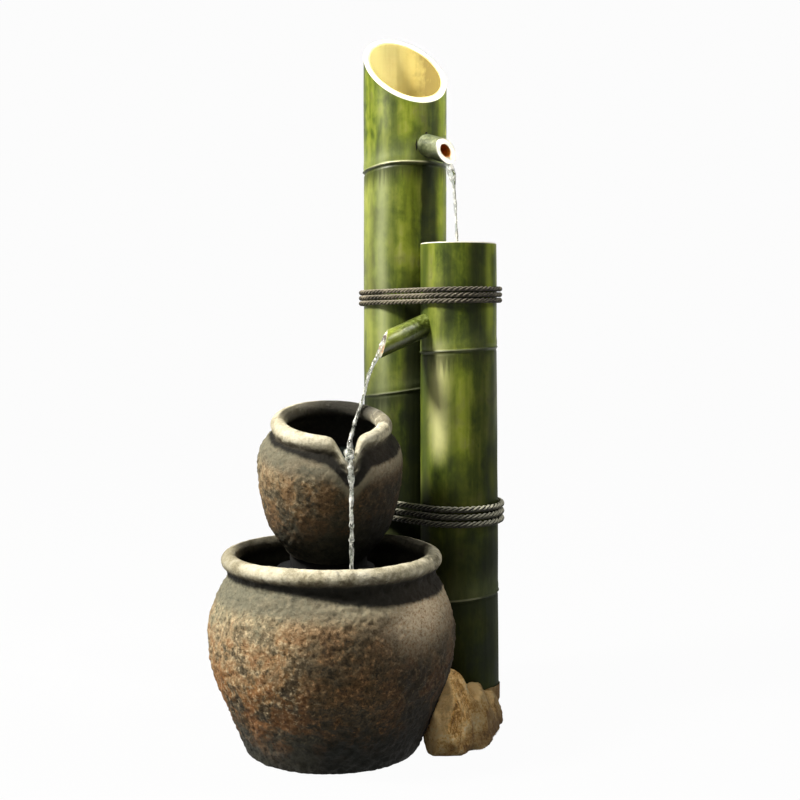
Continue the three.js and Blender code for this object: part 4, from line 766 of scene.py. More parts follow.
def culm_skin(ring, z, radius_at, nodes, seed):
    """Points round the culm's outside, about its own axis, at heights that may vary with the angle."""
    base = radius_at(z)
    x = base * ring[:, 0]
    grow, lift = np.zeros_like(z), np.zeros_like(z)
    for at, lean, droop, pale in nodes:
        near = np.exp(-(((z - at) / 26) ** 2))
        side = math.tan(math.radians(lean)) * x - droop * np.maximum(0, -x / base) ** 2
        lift = lift + side * near
        grow = grow + node_relief(z - at, 0.45 + 0.7 * pale)
    points = base[..., None] * ring + (z + lift)[..., None] * (0, 0, 1)
    streaks = 0.14 * lumps(points * (1, 1, 0.03), 2.6, 2, seed)
    wobble = 0.45 * lumps(points, 90, 2, seed + 1)
    return points + ring * (grow + streaks + wobble)[..., None]


def compartments(radius_at, wall, levels, holes):
    """The hollows under the top diaphragm, downwards: each diaphragm's underside, then the wall."""
    line = []
    for at, hole, below, next_hole in zip(levels, holes, [*levels[1:], None], [*holes[1:], None]):
        low = CULM_FOOT if below is None else below + DIAPHRAGM / 2
        line += [(hole, at - DIAPHRAGM / 2), (radius_at(at) - wall - 4, at - DIAPHRAGM / 2)]
        line += [(radius_at(z) - wall, z) for z in np.linspace(at - DIAPHRAGM / 2 - 3, low + 3, 6)]
        if below is not None:
            line += [(radius_at(low) - wall - 4, low), (next_hole, low)]
    return [*line, (radius_at(CULM_FOOT) - wall, CULM_FOOT)]


def culm_rings(straight_to, top_z, radius_at, wall, nodes, levels, holes, floor, chamfer, seed):
    """Up the outside, over the cut and down the hollow to its floor; the compartments come first."""
    (floor_r, floor_z), (ring, angle) = floor, circle(CULM_SIDES)
    heights = ring_heights(straight_to, nodes)
    low = heights[-1]
    outer_r, inner_r = radius_at(low), radius_at(low) - wall
    climb = np.linspace(0, 1, 60)[1:, None]
    upper = low + (top_z(outer_r, angle)[None] - chamfer - low) * climb
    grid = np.repeat(heights[:, None], CULM_SIDES, 1)
    outside = culm_skin(ring, np.concatenate([grid, upper]), radius_at, nodes, seed)
    face = []
    for share in (0.12, 0.3, 0.5, 0.7, 0.88):
        r = outer_r - wall * share
        saw = lumps(np.stack([angle * 30, angle * 0 + share * 40, angle * 0], -1), 1.5, 2, seed + 5)
        face.append(r * ring + (top_z(r, angle) + 0.15 * saw)[:, None] * (0, 0, 1))
    rim = top_z(inner_r, angle)[None] - chamfer * 0.6
    z = rim + (floor_z - rim) * np.linspace(0, 1, 50)[:, None]
    line = inner_r * ring + z[..., None] * (0, 0, 1)
    ridge = 0.2 * lumps(line * (1, 1, 0.04), 3, 2, seed + 6) + 0.3 * lumps(line, 30, 2, seed + 8)
    line[..., :2] *= (1 + ridge / inner_r)[..., None]
    under = level_rows(ring, compartments(radius_at, wall, levels, holes))
    bottom = level_rows(ring, [(floor_r, floor_z), (holes[0], floor_z)])
    return np.concatenate([under, outside, face, line, bottom])


def slanted(r, angle):
    """The height of the tall culm's cut at a radius and an angle."""
    return CUT_Z - math.tan(CUT_SLOPE) * r * np.cos(angle - CUT_FACING)


def level_cut(r, angle):
    """The same for the short culm, which is cut level."""
    return SHORT_TOP[2] + 0 * angle


def ring_heights(top, nodes):
    """Every 2.5 mm up the culm, and every 0.7 mm near a node."""
    near = [np.arange(at - 12, at + 12, 0.7) for at, *_ in nodes]
    heights = np.unique(np.round(np.concatenate([np.arange(CULM_FOOT, top, 2.5), *near]), 2))
    return heights[np.concatenate([[True], np.diff(heights) > 0.3])]


print("culm helpers ready")


# %% Bamboo finish
STRIP_FADE = 22  # how far each strip fades out past its ends, in millimetres


def bamboo(name, axis_at, nodes, skin_r, wall, cut_mask, shade, strips, lean=(0, 0), top=800):
    """Green skin outside skin_r of the axis, straw inside it, and a pale cut where cut_mask says."""
    made = Finish(name, Roughness=0.4, Specular_IOR_Level=0.22, Coat_Roughness=0.34)
    here = made.place()
    x, y, z = (made.axis(here, letter) for letter in "XYZ")
    x = x - (axis_at[0] + lean[0]) * MM + z * (lean[0] / top)
    y = y - (axis_at[1] + lean[1]) * MM + z * (lean[1] / top)
    streak = made.noise(4.5, 4, 0.6, stretch=(1, 1, 0.05))
    broad = made.noise(24, 3, 0.55, stretch=(1, 1, 0.16), shift=(0.3, 0.8, 0.1))
    mottle = made.noise(19, 5, 0.6, stretch=(1, 1, 0.6), shift=(2.3, 0.1, 4.1), swirl=0.3)
    cloud = made.noise(52, 3, 0.55, shift=(1.3, 2.2, 0.6))
    moss = made.step(mottle, 0.5, 0.74) * made.step(cloud, 0.4, 0.55)
    green = made.ramp(
        broad * 0.4 + streak * 0.15 + mottle * 0.5 + cloud * 0.35,
        (0.56, "#27310A"), (0.63, "#455312"), (0.695, "#64721C"), (0.76, "#848E2F"), (0.84, "#A0A354"),
    )
    green = made.mix(moss * 0.6, green, "#222B0A")
    # Strips along the fibres where light and shade fall: pale strips are painted highlights and dark
    # strips painted shade; the mid greens are the culm's own colour.
    sway = (made.noise(60, 2, 0.5, stretch=(1, 1, 0.35), shift=(5, 2, 7)) - 0.5) * 0.012
    for at, half, low, high, amount, code in strips:
        off = (x + sway - at * MM) / (half * MM)
        ends = made.step(z, (low - STRIP_FADE) * MM, (low + STRIP_FADE) * MM)
        ends = ends * made.step(z, (high + STRIP_FADE) * MM, (high - STRIP_FADE) * MM)
        green = made.mix((off * off).fall() * ends * (mottle * 0.6 + 0.7) * amount, green, code)
    # Painted shade: the culm's shade mask is laid on in almost black.
    dark = shade(made, x, y, z)
    green = made.mix(dark, green, "#121806")
    # At each node: a painted shadow under the ring, a pale bloom above it, and the ring's line, pale where
    # it is lit, partly its own colour and partly painted highlight.
    for at, lean_deg, droop, pale in nodes:
        sag = ((x * (-1 / (skin_r * MM))).above(0.0) ** 2.0) * (droop * MM)
        way = z - at * MM - x * math.tan(math.radians(lean_deg)) + sag
        below = made.step(way + (streak - 0.5) * 0.05, -0.03, -0.004) * made.step(way, 0.0005, -0.0012)
        bloom = made.step(way, 0.04, 0.004) * made.step(way, 0.0, 0.002)
        bloom = bloom * made.noise(9, 3, 0.6, stretch=(1, 1, 0.3))
        line = made.step(way, -0.0014, -0.0004) * made.step(way, 0.0018, 0.0008)
        lit = made.step(x, -0.9 * skin_r * MM, -0.65 * skin_r * MM)
        lit = lit * made.step(x, 0.6 * skin_r * MM, 0.35 * skin_r * MM)
        green = made.coats(
            green,
            (below * 0.75, "#1B2208"),
            (bloom * (0.2 + pale * 0.5), "#8D9766"),
            (line * 0.8, made.mix(lit * broad * (pale * 1.7), "#4D533B", "#DAD8B0")),
        )
    radius = (x * x + y * y) ** 0.5
    outside = made.step(radius, (skin_r - 3.2) * MM, (skin_r - 2.2) * MM)
    # The straw inside is painted darker towards the right and lighter towards the left: painted light and
    # shade.
    straw = made.ramp(
        made.noise(6, 4, 0.6, stretch=(1, 1, 0.06)) * 0.13 + made.noise(16, 5, 0.6) * 0.35 + x * -8.0,
        (0.02, "#8F7E44"), (0.17, "#CDBA6C"), (0.4, "#D9CB82"),
    )
    # The cut is pale, but the wall's inner third is pithy and yellower than its hard outer part.
    fibre = made.ramp(made.noise(1.1, 2, 0.6), (0.35, "#EDE4C6"), (0.6, "#FBF8EC"))
    pith = made.step(radius, (skin_r - wall + 1.0) * MM, (skin_r - wall + 3.8) * MM)
    cut = made.mix(pith, "#DDCB88", fibre)
    made.feed(
        Base_Color=made.mix(cut_mask(made, x, y, z), made.mix(outside, straw, green), cut),
        Roughness=0.34 + mottle * 0.3 + (1 - outside) * 0.3 + dark * 0.3,
        Coat_Weight=outside * made.step(z, 0.3, 0.42) * (1 - dark) * 0.16,
    )
    return made.relief(streak * 0.6 + mottle * 0.4, 0.4)


print("bamboo ready")


# %% Build the tall culm
def tall_radius(z):
    return TALL_R + 0 * z


def tall_cut(made, x, y, z):
    """1 on the slanting cut and just under it."""
    slope = math.tan(CUT_SLOPE)
    plane = z + x * (slope * math.cos(CUT_FACING)) + y * (slope * math.sin(CUT_FACING))
    return made.step(plane, (CUT_Z - 1.5) * MM, (CUT_Z - 0.7) * MM)


def tall_shade(made, x, y, z):
    """Painted shade down the culm's right side, over its lower part beside the jars and round the lower
    spout.
    """
    front = made.step(y, 0.0, -0.01)
    soft = (made.noise(14, 4, 0.55, stretch=(1, 1, 0.3)) - 0.5) * 0.016
    right = made.step(x + soft, 0.015, 0.021) * made.step(x, 0.042, 0.034) * front
    under = made.step(z, 0.652, 0.64)
    high = made.step(x + soft, 0.01, 0.03) * made.step(x, 0.043, 0.035) * front * (1 - under)
    painted_shade = made.step(z + soft * 4.0 + x * 1.6, 0.4, 0.27)
    inner = made.step(x + soft, -0.012, 0.006) * made.step(z, 0.55, 0.475) * front
    return (right * under * 0.82 + high * 0.6).above(painted_shade * 0.9).above(inner * 0.94)


# Each strip: its place across the culm and half its width, its lower and upper height, its strength
# and its colour. Pale strips are painted highlights and dark strips painted shade.
TALL_STRIPS = [
    (-27, 8, 330, 660, 0.66, "#A5AC7C"), (-43, 6, 380, 640, 0.46, "#A8AE62"),
    (-13, 6, 60, 740, 0.45, "#2F3B0D"), (-26, 7, 676, 735, 0.28, "#A9AF7C"),
    (4, 9, 390, 800, 0.3, "#7F8A1C"), (45, 6, 120, 800, 0.42, "#97A23D"),
]
rings = culm_rings(
    straight_to=690, top_z=slanted, radius_at=tall_radius, wall=TALL_WALL, nodes=TALL_NODES,
    levels=[649, 380, 118], holes=[RISER_HOLE] * 3, floor=(TALL_R - TALL_WALL - 4, 651),
    chamfer=0.5, seed=51,
)
rings[..., :2] += TALL_AT
tall_culm = skin("tall_culm_bamboo", rings, looped=True, sharp_deg=40)
tall_bamboo = bamboo(
    "tall_culm_bamboo", TALL_AT, TALL_NODES, TALL_R, TALL_WALL, tall_cut, tall_shade, TALL_STRIPS
)
dress(tall_culm, tall_bamboo, FIXED, ["tall_culm"])


# %% Build the short culm
def short_radius(z):
    return SHORT_FOOT_R + (SHORT_TOP_R - SHORT_FOOT_R) * z / SHORT_TOP[2]


def short_cut(made, x, y, z):
    return made.step(z, (SHORT_TOP[2] - 1.6) * MM, (SHORT_TOP[2] - 0.6) * MM)


def short_shade(made, x, y, z):
    """Painted shade: a dark strip down the culm's right, over its lower half, climbing higher on the left,
    and at its foot.
    """
    soft = (made.noise(18, 4, 0.55, stretch=(1, 1, 0.3)) - 0.5) * 0.03
    right = made.step(x + soft, 0.006, 0.02) * made.step(x, 0.034, 0.026)
    painted_shade = made.step(z + soft * 1.5 - x * 0.7, 0.335, 0.27)
    foot = made.step(z + soft, 0.27, 0.2)
    return (right * 0.55).above(painted_shade * 0.66).above(foot * 0.86)


# Pale strips are painted highlights and dark strips painted shade, as on the tall culm.
SHORT_STRIPS = [
    (-24, 9, 312, 430, 1.0, "#DCDC98"), (-25, 7, 450, 520, 0.3, "#A4A95C"),
    (-40, 7, 200, 560, 0.85, "#3F4C16"), (-11, 6, 445, 545, 0.65, "#26300A"),
    (-10, 5, 60, 420, 0.4, "#36430F"), (1, 7, 240, 430, 0.3, "#8D992C"),
    (16, 8, 450, 560, 0.75, "#222A09"), (33, 5, 440, 560, 0.7, "#96A23E"),
    (36, 9, 60, 420, 0.8, "#1A2208"), (38, 4, 268, 298, 0.7, "#95A23A"),
]
rings = culm_rings(
    straight_to=530, top_z=level_cut, radius_at=short_radius, wall=SHORT_WALL, nodes=SHORT_NODES,
    levels=[430, 144], holes=[DRAIN_HOLE, VENT_HOLE], floor=(SHORT_TOP_R - SHORT_WALL - 4, 432),
    chamfer=1.1, seed=71,
)
lean = SHORT_LEAN * (1 - rings[..., 2:] / SHORT_TOP[2])
rings[..., :2] += SHORT_TOP[:2] + lean
short_culm = skin("short_culm_bamboo", rings, sharp_deg=40)
short_bamboo = bamboo(
    "short_culm_bamboo", SHORT_TOP[:2], SHORT_NODES, SHORT_TOP_R, SHORT_WALL, short_cut, short_shade,
    SHORT_STRIPS, tuple(SHORT_LEAN), SHORT_TOP[2],
)
dress(short_culm, short_bamboo, FIXED, ["short_culm"])

# %% [markdown]
# ## Spouts
# Two short canes carry the water out. Each is a thin bamboo tube cut on the slant; the cut has its
# own facing, which is why the upper one shows a round pale face and the lower one a long pale edge.
# Their undersides are painted dark as painted shade, and the bores, where the water runs, have gone
# orange.


# %% Cane spouts
SPOUT_SIDES = 96


def direction(facing_deg, rise_deg):
    """A way that faces so many degrees from X towards Y, and climbs by so many."""
    facing, rise = math.radians(facing_deg), math.radians(rise_deg)
    level = np.array([math.cos(facing), math.sin(facing), 0])
    return level * math.cos(rise) + np.array([0, 0, math.sin(rise)])


SPOUTS = {
    "upper_spout": dict(
        root=np.array([80.2, 184, 681]), way=direction(-57.7, -14.8), outer=13.5, bore=7.0, start=32.7,
        reach=90.5, cut=direction(-57.7, 25), tones=("#2C321C", "#5A6143", "#8E9474"), tip="#8A8F6C",
    ),
    "lower_spout": dict(
        root=np.array([102.2, 92, 457.6]), way=direction(218, -19), outer=13.0, bore=9.5, start=-17.0,
        reach=62.0, cut=direction(188, 17), tones=("#333F10", "#5F6B22", "#93A05A"), tip="#A5B03A",
    ),
}


def spout_rings(root, way, outer, bore, start, reach, cut, seed, **_):
    """Along the skin to the slanting cut, over it, and back along the bore."""
    across = unit(np.cross(way, [0, 0, 1.0]))
    ring = round_a_line(circle(SPOUT_SIDES)[0], across, np.cross(across, way))
    slant = cut / (cut @ way)

    def tube(r, t):
        return root + way * np.broadcast_to(t, (SPOUT_SIDES,))[:, None] + ring * r

    def end(r):
        return reach - r * ring @ slant

    skin_end, bore_end = end(outer) - 0.5, end(bore) - 0.5
    rows = [tube(outer, start + (skin_end - start) * share) for share in np.linspace(0, 1, 60)]
    rows += [tube(r, end(r)) for r in outer - (outer - bore) * np.array([0.06, 0.3, 0.5, 0.7, 0.94])]
    rows += [tube(bore, bore_end + (start - bore_end) * share) for share in np.linspace(0, 1, 30)]
    rings = np.array(rows)[:, ::-1]
    out = normals_of(rings)
    grow = 0.25 * lumps(rings, 14, 2, seed) + 0.12 * lumps(rings, 3, 2, seed + 2)
    return rings + out * grow[..., None]


def cane(name, root, way, outer, bore, reach, cut, tones, tip, **_):
    """Green skin painted dark underneath as painted shade, a pale slanting face and a dark bore that the
    water wets.
    """
    made = Finish(name, Roughness=0.35, Coat_Roughness=0.15)
    here = made.vector("SUBTRACT", made.place(), tuple(root * MM))
    along, length = made.dot(here, way), made.vector("LENGTH", here, out=1)
    radius = (length * length - along * along) ** 0.5
    end = reach * (cut @ way)
    face = made.step(made.dot(here, cut), (end - 1.6) * MM, (end - 0.8) * MM)
    face = face * made.step(radius, (outer - 0.4) * MM, (outer - 1.6) * MM)
    hollow = made.step(radius, (bore + 0.8) * MM, (bore + 0.2) * MM)
    streak = made.noise(4, 4, 0.6)
    green = made.coats(
        made.ramp(streak * 0.6 + made.noise(11, 4) * 0.4, *zip((0.36, 0.5, 0.62), tones)),
        (made.step(along, (reach - 34) * MM, (reach - 6) * MM) * 0.5, tip),
        # Painted shade: the underside is painted almost black.
        (made.step(made.axis(made.faces(), "Z"), 0.25, -0.45) * 0.88, "#171D08"),
    )
    pale = made.ramp(made.noise(1.6, 3, 0.6), (0.3, "#B0A684"), (0.62, "#DED7BE"))
    brown = made.ramp(made.noise(3, 3), (0.3, "#B5621A"), (0.7, "#F2A03C"))
    made.feed(Base_Color=made.coats(green, (hollow, brown), (face, pale)), Coat_Weight=0.6 - face * 0.4)
    return made.relief(streak, 0.3)


for number, (name, spec) in enumerate(SPOUTS.items()):
    piece = skin(name + "_cane", spout_rings(**spec, seed=90 + number * 7), looped=True, sharp_deg=45)
    dress(piece, cane(name + "_cane", **spec), FIXED, [name])

# %% [markdown]
# ## Rope lashings
# Each lashing is one rope wound three times round both culms. A plain tube reads as wire, so the
# rope is laid as real rope is: three strands that twist round one another along the whole path.
# Its top is painted pale as a painted highlight, and its underside and the turns in front of the
# short culm are painted dark as painted shade.


# %% The rope's path
def band_around(tall_r, short_r, z, steps=40):
    """A level loop drawn tight round both culms, the way out at its start, and that start."""
    centre = SHORT_TOP[:2] + SHORT_LEAN * (1 - z / SHORT_TOP[2])
    apart = np.linalg.norm(centre - TALL_AT)
    facing = math.atan2(*(centre - TALL_AT)[::-1])
    lean = math.acos((tall_r - short_r) / apart)
    arcs = [
        (TALL_AT, tall_r, facing + lean, 2 * (math.pi - lean)),
        (centre, short_r, facing - lean, 2 * lean),
    ]
    points, outs = [], []
    for middle, r, start, span in arcs:
        angle = start + np.linspace(0, span, steps)
        outs.append(np.stack([np.cos(angle), np.sin(angle)], -1))
        points.append(middle + r * outs[-1])
    points = np.concatenate(points)
    back = (points[0] + points[-1]) / 2
    return np.concatenate([[back], points, [back]]), outs[0][0], back


def lashing_path(rope_r, pitch, start_z, turns=3):
    """The rope's middle line, the way out from the culms at its back, and the middle of the back."""
    stand = rope_r + 0.3
    middle_z = start_z + pitch * turns / 2
    loop, out, back = band_around(TALL_R + stand, short_radius(middle_z) + stand, middle_z)
    loop = even(loop, 1.3)
    share = np.linspace(0, 1, len(loop))
    rounds = [np.column_stack([loop, start_z + pitch * (turn + share)]) for turn in range(turns)]
    path = np.concatenate([*(line[:-1] for line in rounds[:-1]), rounds[-1]])
    return path, np.array([*out, 0]), np.array([*back, middle_z])


STRANDS, STRAND_SIDES, STRAND_SHARE = 3, 9, 0.5


def rope_strand(path, rope_r, lay, phase, seed):
    """One strand of a rope along a path, as rings of points."""
    way = unit(np.gradient(path, axis=0))
    side = unit(np.cross(way, [0, 0, 1.0]))
    up = np.cross(side, way)
    turn = 2 * math.pi * run_along(path) / lay + phase
    swing = np.cos(turn)[:, None] * side + np.sin(turn)[:, None] * up
    middle = path + rope_r * (1 - STRAND_SHARE) * swing
    thick = rope_r * STRAND_SHARE * (1 + 0.08 * lumps(middle, 6, 2, seed))
    ring = round_a_line(circle(STRAND_SIDES)[0], side, up)
    return (middle[:, None] + thick[:, None, None] * ring)[:, ::-1]


def laid_rope(name, path, rope_r, lay, seed):
    """Three strands twisted together, joined into one piece."""
    points, faces, start = [], [], 0
    for strand in range(STRANDS):
        rings = rope_strand(path, rope_r, lay, strand * 2 * math.pi / STRANDS, seed + strand)
        points.append(rings.reshape(-1, 3))
        last = start + len(points[-1]) - STRAND_SIDES
        faces += ring_faces(len(rings), STRAND_SIDES, start)
        faces.append(list(range(start, start + STRAND_SIDES))[::-1])
        faces.append(list(range(last, last + STRAND_SIDES)))
        start = last + STRAND_SIDES
    made = mesh_object(name, np.concatenate(points) * MM, faces)
    made.data.shade_smooth()
    return made


print("rope helpers ready")


# %% Rope finish
def rope_finish(name, painted_shade, dark, mid, pale, top):
    """Hemp that has greyed and is dark in the lay, with a painted highlight on its top and painted shade
    under it.
    """
    made = Finish(name, Roughness=0.8)
    fibre = made.noise(1.6, 3, 0.6, stretch=(0.5, 0.5, 1.6))
    dirt = made.noise(26, 3, 0.6, shift=(4, 1, 2))
    hemp = made.ramp(fibre * 0.4 + dirt * 0.65, (0.4, dark), (0.53, mid), (0.66, pale))
    faces = made.axis(made.faces(), "Z")
    # Painted shade: the turns in front of the short culm, towards the right, are painted darker.
    in_front = made.step(made.axis(made.place(), "X"), 0.085, 0.125)
    # Painted highlight on the tops and painted shade on the undersides, over the hemp's colour.
    hemp = made.coats(
        hemp,
        (made.step(faces, 0.1, 0.75) * 0.75, top),
        (in_front * painted_shade, dark),
        (made.step(faces, -0.1, -0.7) * 0.6, dark),
    )
    made.feed(Base_Color=hemp)
    return made.relief(fibre, 0.4)


LASHINGS = {
    "upper_lashing": dict(
        rope_r=3.0, pitch=6.5, start_z=481.2, lay=19, painted_shade=0.47,
        colours=("#1F1C15", "#5A5343", "#958D79", "#A59D8A"),
    ),
    "lower_lashing": dict(
        rope_r=3.7, pitch=8.7, start_z=226, lay=21, painted_shade=0.22,
        colours=("#12120C", "#3B3A30", "#77755F", "#F2EFD6"),
    ),
}
KNOT_LENGTH, KNOT_TURNS = 22.0, 3.4
print("lashings:", ", ".join(LASHINGS))


# %% Build the lashings and their knots
def knot_path(back, out, rope_r, pitch):
    """Turns that wind round the back of a lashing, from one side of the knot to the other."""
    along = np.cross([0, 0, 1.0], out)
    tall = pitch * 1.5 + rope_r + 1.5
    turn = np.linspace(0, 2 * math.pi * KNOT_TURNS, 300)[:, None]
    wind = np.cos(turn) * out * (rope_r * 2.1) + np.sin(turn) * (0, 0, tall)
    wind = wind + (turn / turn[-1] - 0.5) * along * (KNOT_LENGTH - 2 * rope_r)
    return even(back + out * (rope_r + 0.3) + wind, 1.3)


for number, (name, spec) in enumerate(LASHINGS.items()):
    rope_r, pitch, lay = spec["rope_r"], spec["pitch"], spec["lay"]
    path, out, back = lashing_path(rope_r, pitch, spec["start_z"])
    hemp = rope_finish(name + "_rope", spec["painted_shade"], *spec["colours"])
    rope = laid_rope(name + "_rope", path, rope_r, lay, 120 + number * 9)
    dress(rope, hemp, FIXED, [name])
    path = knot_path(back, out, rope_r, pitch)
    knot = laid_rope(name + "_knot_rope", path, rope_r * 0.85, lay * 0.8, 150 + number * 9)
    dress(knot, hemp, FIXED, [name + "_knot"])

# %% [markdown]
# ## Rock base
# Two boulders show beside the large jar, and a rough slab carries the culms. Boulders are soft
# forms with broken faces: each starts as a round lump, loses slices to a few flats and is then
# roughened. Faces turned towards the key lamp are painted pale as painted highlight, faces turned
# away and the right side are painted dark as painted shade, and the stone is darker at the bottom.
# A voxel remesh makes one skin of all of them, and the points are then moved clear of the jar and
# the culms, just as the solid is cut.


# %% Rock shapes
def vectors_of(items, what):
    """One vector for each of a mesh's points, as an array."""
    values = np.empty(len(items) * 3)
    items.foreach_get(what, values)
    return values.reshape(-1, 3)


def ball(level=5):
    """The points and faces of a fine round lump."""
    bpy.ops.mesh.primitive_ico_sphere_add(subdivisions=level, radius=1)
    made = bpy.context.object
    points, faces = vectors_of(made.data.vertices, "co"), [list(p.vertices) for p in made.data.polygons]
    bpy.data.objects.remove(made)
    return points, faces


def broken_off(points, flats, seed):
    """Takes slices off a round lump, so that flat faces with ridges between them are left."""
    turn = np.arange(flats) * 2.4 + seed
    level = 1 - (np.arange(flats) + 0.5) * 1.5 / flats + 0.12 * np.sin(turn * 3.1)
    ways = unit(np.stack([np.cos(turn), np.sin(turn), level], -1))
    for way, keep in zip(ways, 0.84 + 0.09 * np.sin(turn * 5.7)):
        points = points - np.maximum(points @ way - keep, 0)[:, None] * way
    return points


VOXEL = 0.0021  # the grain of the remesh, in metres
# Each lump's middle and its half sizes; the last two lie under the culms.
ROCKS = [
    ((124, 12, 22), (36, 60, 57)), ((141, 20, 2), (37, 53, 48)), ((158, 46, 8), (31, 46, 45)),
    ((170, 88, 6), (25, 56, 33)), ((62, 186, 0), (52, 58, 18)), ((128, 196, 0), (46, 44, 17)),
]
lump, lump_faces = ball()
points, faces = [], []
for number, (at, half) in enumerate(ROCKS):
    faces += [[v + number * len(lump) for v in face] for face in lump_faces]
    points.append(broken_off(lump, 14, 60 + number) * half + at)
# The slab is a flat prism round both culms.
edge = band_around(46, 40, 0)[0][1:-2]
start, count = len(ROCKS) * len(lump), len(edge)
slab = np.concatenate([np.column_stack([edge, 0 * edge[:, 0] + z]) for z in (-6, 16)])
faces += ring_faces(2, count, start)
faces += [list(range(start, start + count))[::-1], list(range(start + count, start + 2 * count))]
rock = mesh_object("rock_base_stone", np.concatenate([*points, slab]) * MM, faces)
remesh = rock.modifiers.new("one_skin", "REMESH")
remesh.mode, remesh.voxel_size = "VOXEL", VOXEL
whole = bpy.data.meshes.new_from_object(rock.evaluated_get(bpy.context.evaluated_depsgraph_get()))
rock.modifiers.clear()
rock.data = whole
print("rock skin:", len(whole.vertices), "points")

# %% Roughen the rock and keep it clear of its neighbours
JAR_SHOULDER = 186.1  # the height at which the large jar's body ends
SEAT_Z = 15.9  # just under the culms' feet

points, outs = vectors_of(whole.vertices, "co") / MM, vectors_of(whole.vertices, "normal")
broken = lumps(points, 24, 2, 200)
facets = np.round(broken * 3.5) / 3.5 * 0.75 + broken * 0.25
crags = 0.5 - np.abs(lumps(points, 11, 3, 207)) * 2
relief = 1.6 * facets + 1.0 * crags + 0.6 * lumps(points, 3.2, 2, 213)
points = points + outs * relief[:, None]
shares = np.array(LARGE["shares"])
jar_r = np.interp(points[:, 2], shares[:, 1] * JAR_SHOULDER, shares[:, 0] * LARGE["belly"]) + 1.2
away = np.hypot(points[:, 0], points[:, 1])
points[:, :2] *= np.where(away < jar_r, jar_r / np.maximum(away, 1), 1)[:, None]
for centre, r in ((TALL_AT, TALL_R + 2.2), (SHORT_TOP[:2] + SHORT_LEAN, SHORT_FOOT_R + 1.0)):
    off = points[:, :2] - centre
    away = np.linalg.norm(off, axis=1)
    push = (away < r) & (points[:, 2] > SEAT_Z)
    under = push & (points[:, 2] < 19)
    points[under, 2] = SEAT_Z
    push &= ~under
    points[push, :2] = centre + off[push] * (r / np.maximum(away[push], 1))[:, None]
points[:, 2] = np.maximum(points[:, 2], 0)
whole.vertices.foreach_set("co", (points * MM).ravel())
whole.update()
whole.shade_smooth()

stone = Finish("rock_base_stone", Roughness=0.9)
veins = stone.noise(24, 5, 0.62, swirl=0.4)
grit = stone.noise(2.6, 4, 0.75, shift=(2, 1, 5))
place, faces = stone.place(), stone.faces()
high = stone.axis(place, "Z") + (veins - 0.5) * 0.03
right = stone.axis(place, "X") + (veins - 0.5) * 0.02
# Painted highlight on faces turned towards the key lamp, painted shade on faces turned away and on
# the right side; the stone is darker at the bottom.
lamp_facing = stone.dot(faces, (-0.45, -0.35, 0.82)) + (veins - 0.5) * 0.5
sandy = stone.coats(
    stone.ramp(
        veins * 0.6 + grit * 0.45,
        (0.41, "#6E4C22"), (0.49, "#CF9B52"), (0.56, "#FCD48E"), (0.66, "#FFEDC0"),
    ),
    (stone.step(right, 0.142, 0.156) * 0.62, "#63502F"),
    (stone.step(lamp_facing, 0.4, 0.9) * 0.7, "#FFD998"),
    (stone.step(lamp_facing, 0.25, -0.3) * 0.6, "#5C4225"),
    (stone.step(high, 0.03, 0.0) * 0.45, "#5F4C31"),
)
stone.feed(Base_Color=sandy)
stone.relief(grit * 0.6 + veins * 0.4, 2.4)
dress(rock, stone, FIXED, ["rock_base"])

# %% [markdown]
# ## Water
# Falling water is clear where it runs smooth and white where it breaks. Each stream is a thin
# wavering skin along the arc that the water takes, and its finish mixes clear water with white
# foam that glows faintly, as painted light. The one from the lip goes with the small jar when that
# is lifted, and it goes on under the large jar's water, so that it still reaches it then. The pools
# are thin sheets cut to the inside of their jars.

# %% Water finishes
WATER = dict(IOR=1.33, Transmission_Weight=0.95)
stream_finish = Finish("falling_water", Roughness=0.04, Base_Color=colour("#DADFD6"), **WATER)
# The foam glows faintly: painted light.
glowing_foam_look = {"Base Color": colour("#EDEDE4"), "Roughness": 0.25, "Emission Color": WHITE}
foam = stream_finish.node("BsdfPrincipled", None, {**glowing_foam_look, "Emission Strength": 0.08})
bubbles = stream_finish.noise(5, 3, 0.6, stretch=(1, 1, 0.5))
stream_finish.cover(stream_finish.step(bubbles, 0.42, 0.62), foam)

pool_finish = Finish("still_water", Roughness=0.03, Base_Color=colour("#8FA09A"), **WATER)
pool_finish.relief(pool_finish.noise(14, 3, 0.5), 0.8)
print("water finishes ready")


# %% Streams
STREAM_STEP, STREAM_SIDES = 0.8, 14
SMOOTHED_OVER = 15  # how many points of a route are blended into each one of the thread


def stream(name, route, seed, beads, body):
    """A wavering thread of water along a route of points, each with its own radius."""
    run = run_along(route[:, :3])
    marks = np.arange(0, run[-1], STREAM_STEP)
    line = np.pad(points_at(marks, run, route), ((SMOOTHED_OVER // 2,) * 2, (0, 0)), mode="edge")
    kernel = np.hanning(SMOOTHED_OVER) / np.hanning(SMOOTHED_OVER).sum()
    line = np.stack([np.convolve(column, kernel, "valid") for column in line.T], -1)
    path, radius = line[:, :3], line[:, 3]
    way = unit(np.gradient(path, axis=0))
    side = unit(np.array([1.0, 0, 0]) - way * way[:, :1])
    marks = np.column_stack([0 * marks, 0 * marks, marks])
    swell = 0.3 * lumps(marks, 9, 2, seed) + beads * np.maximum(0, lumps(marks, 5, 1, seed + 4))
    radius = radius * (1 + swell)
    path = path + side * (0.5 * lumps(marks, 14, 2, seed + 9))[:, None]
    ring = round_a_line(circle(STREAM_SIDES)[0], side, np.cross(way, side))
    rings = path[:, None] + radius[:, None, None] * ring
    wave = lumps(rings, 4, 2, seed + 11)
    rings = rings + ring * (0.25 * wave * radius[:, None])[..., None]
    return dress(skin(name, rings, sharp_deg=180), stream_finish, body)


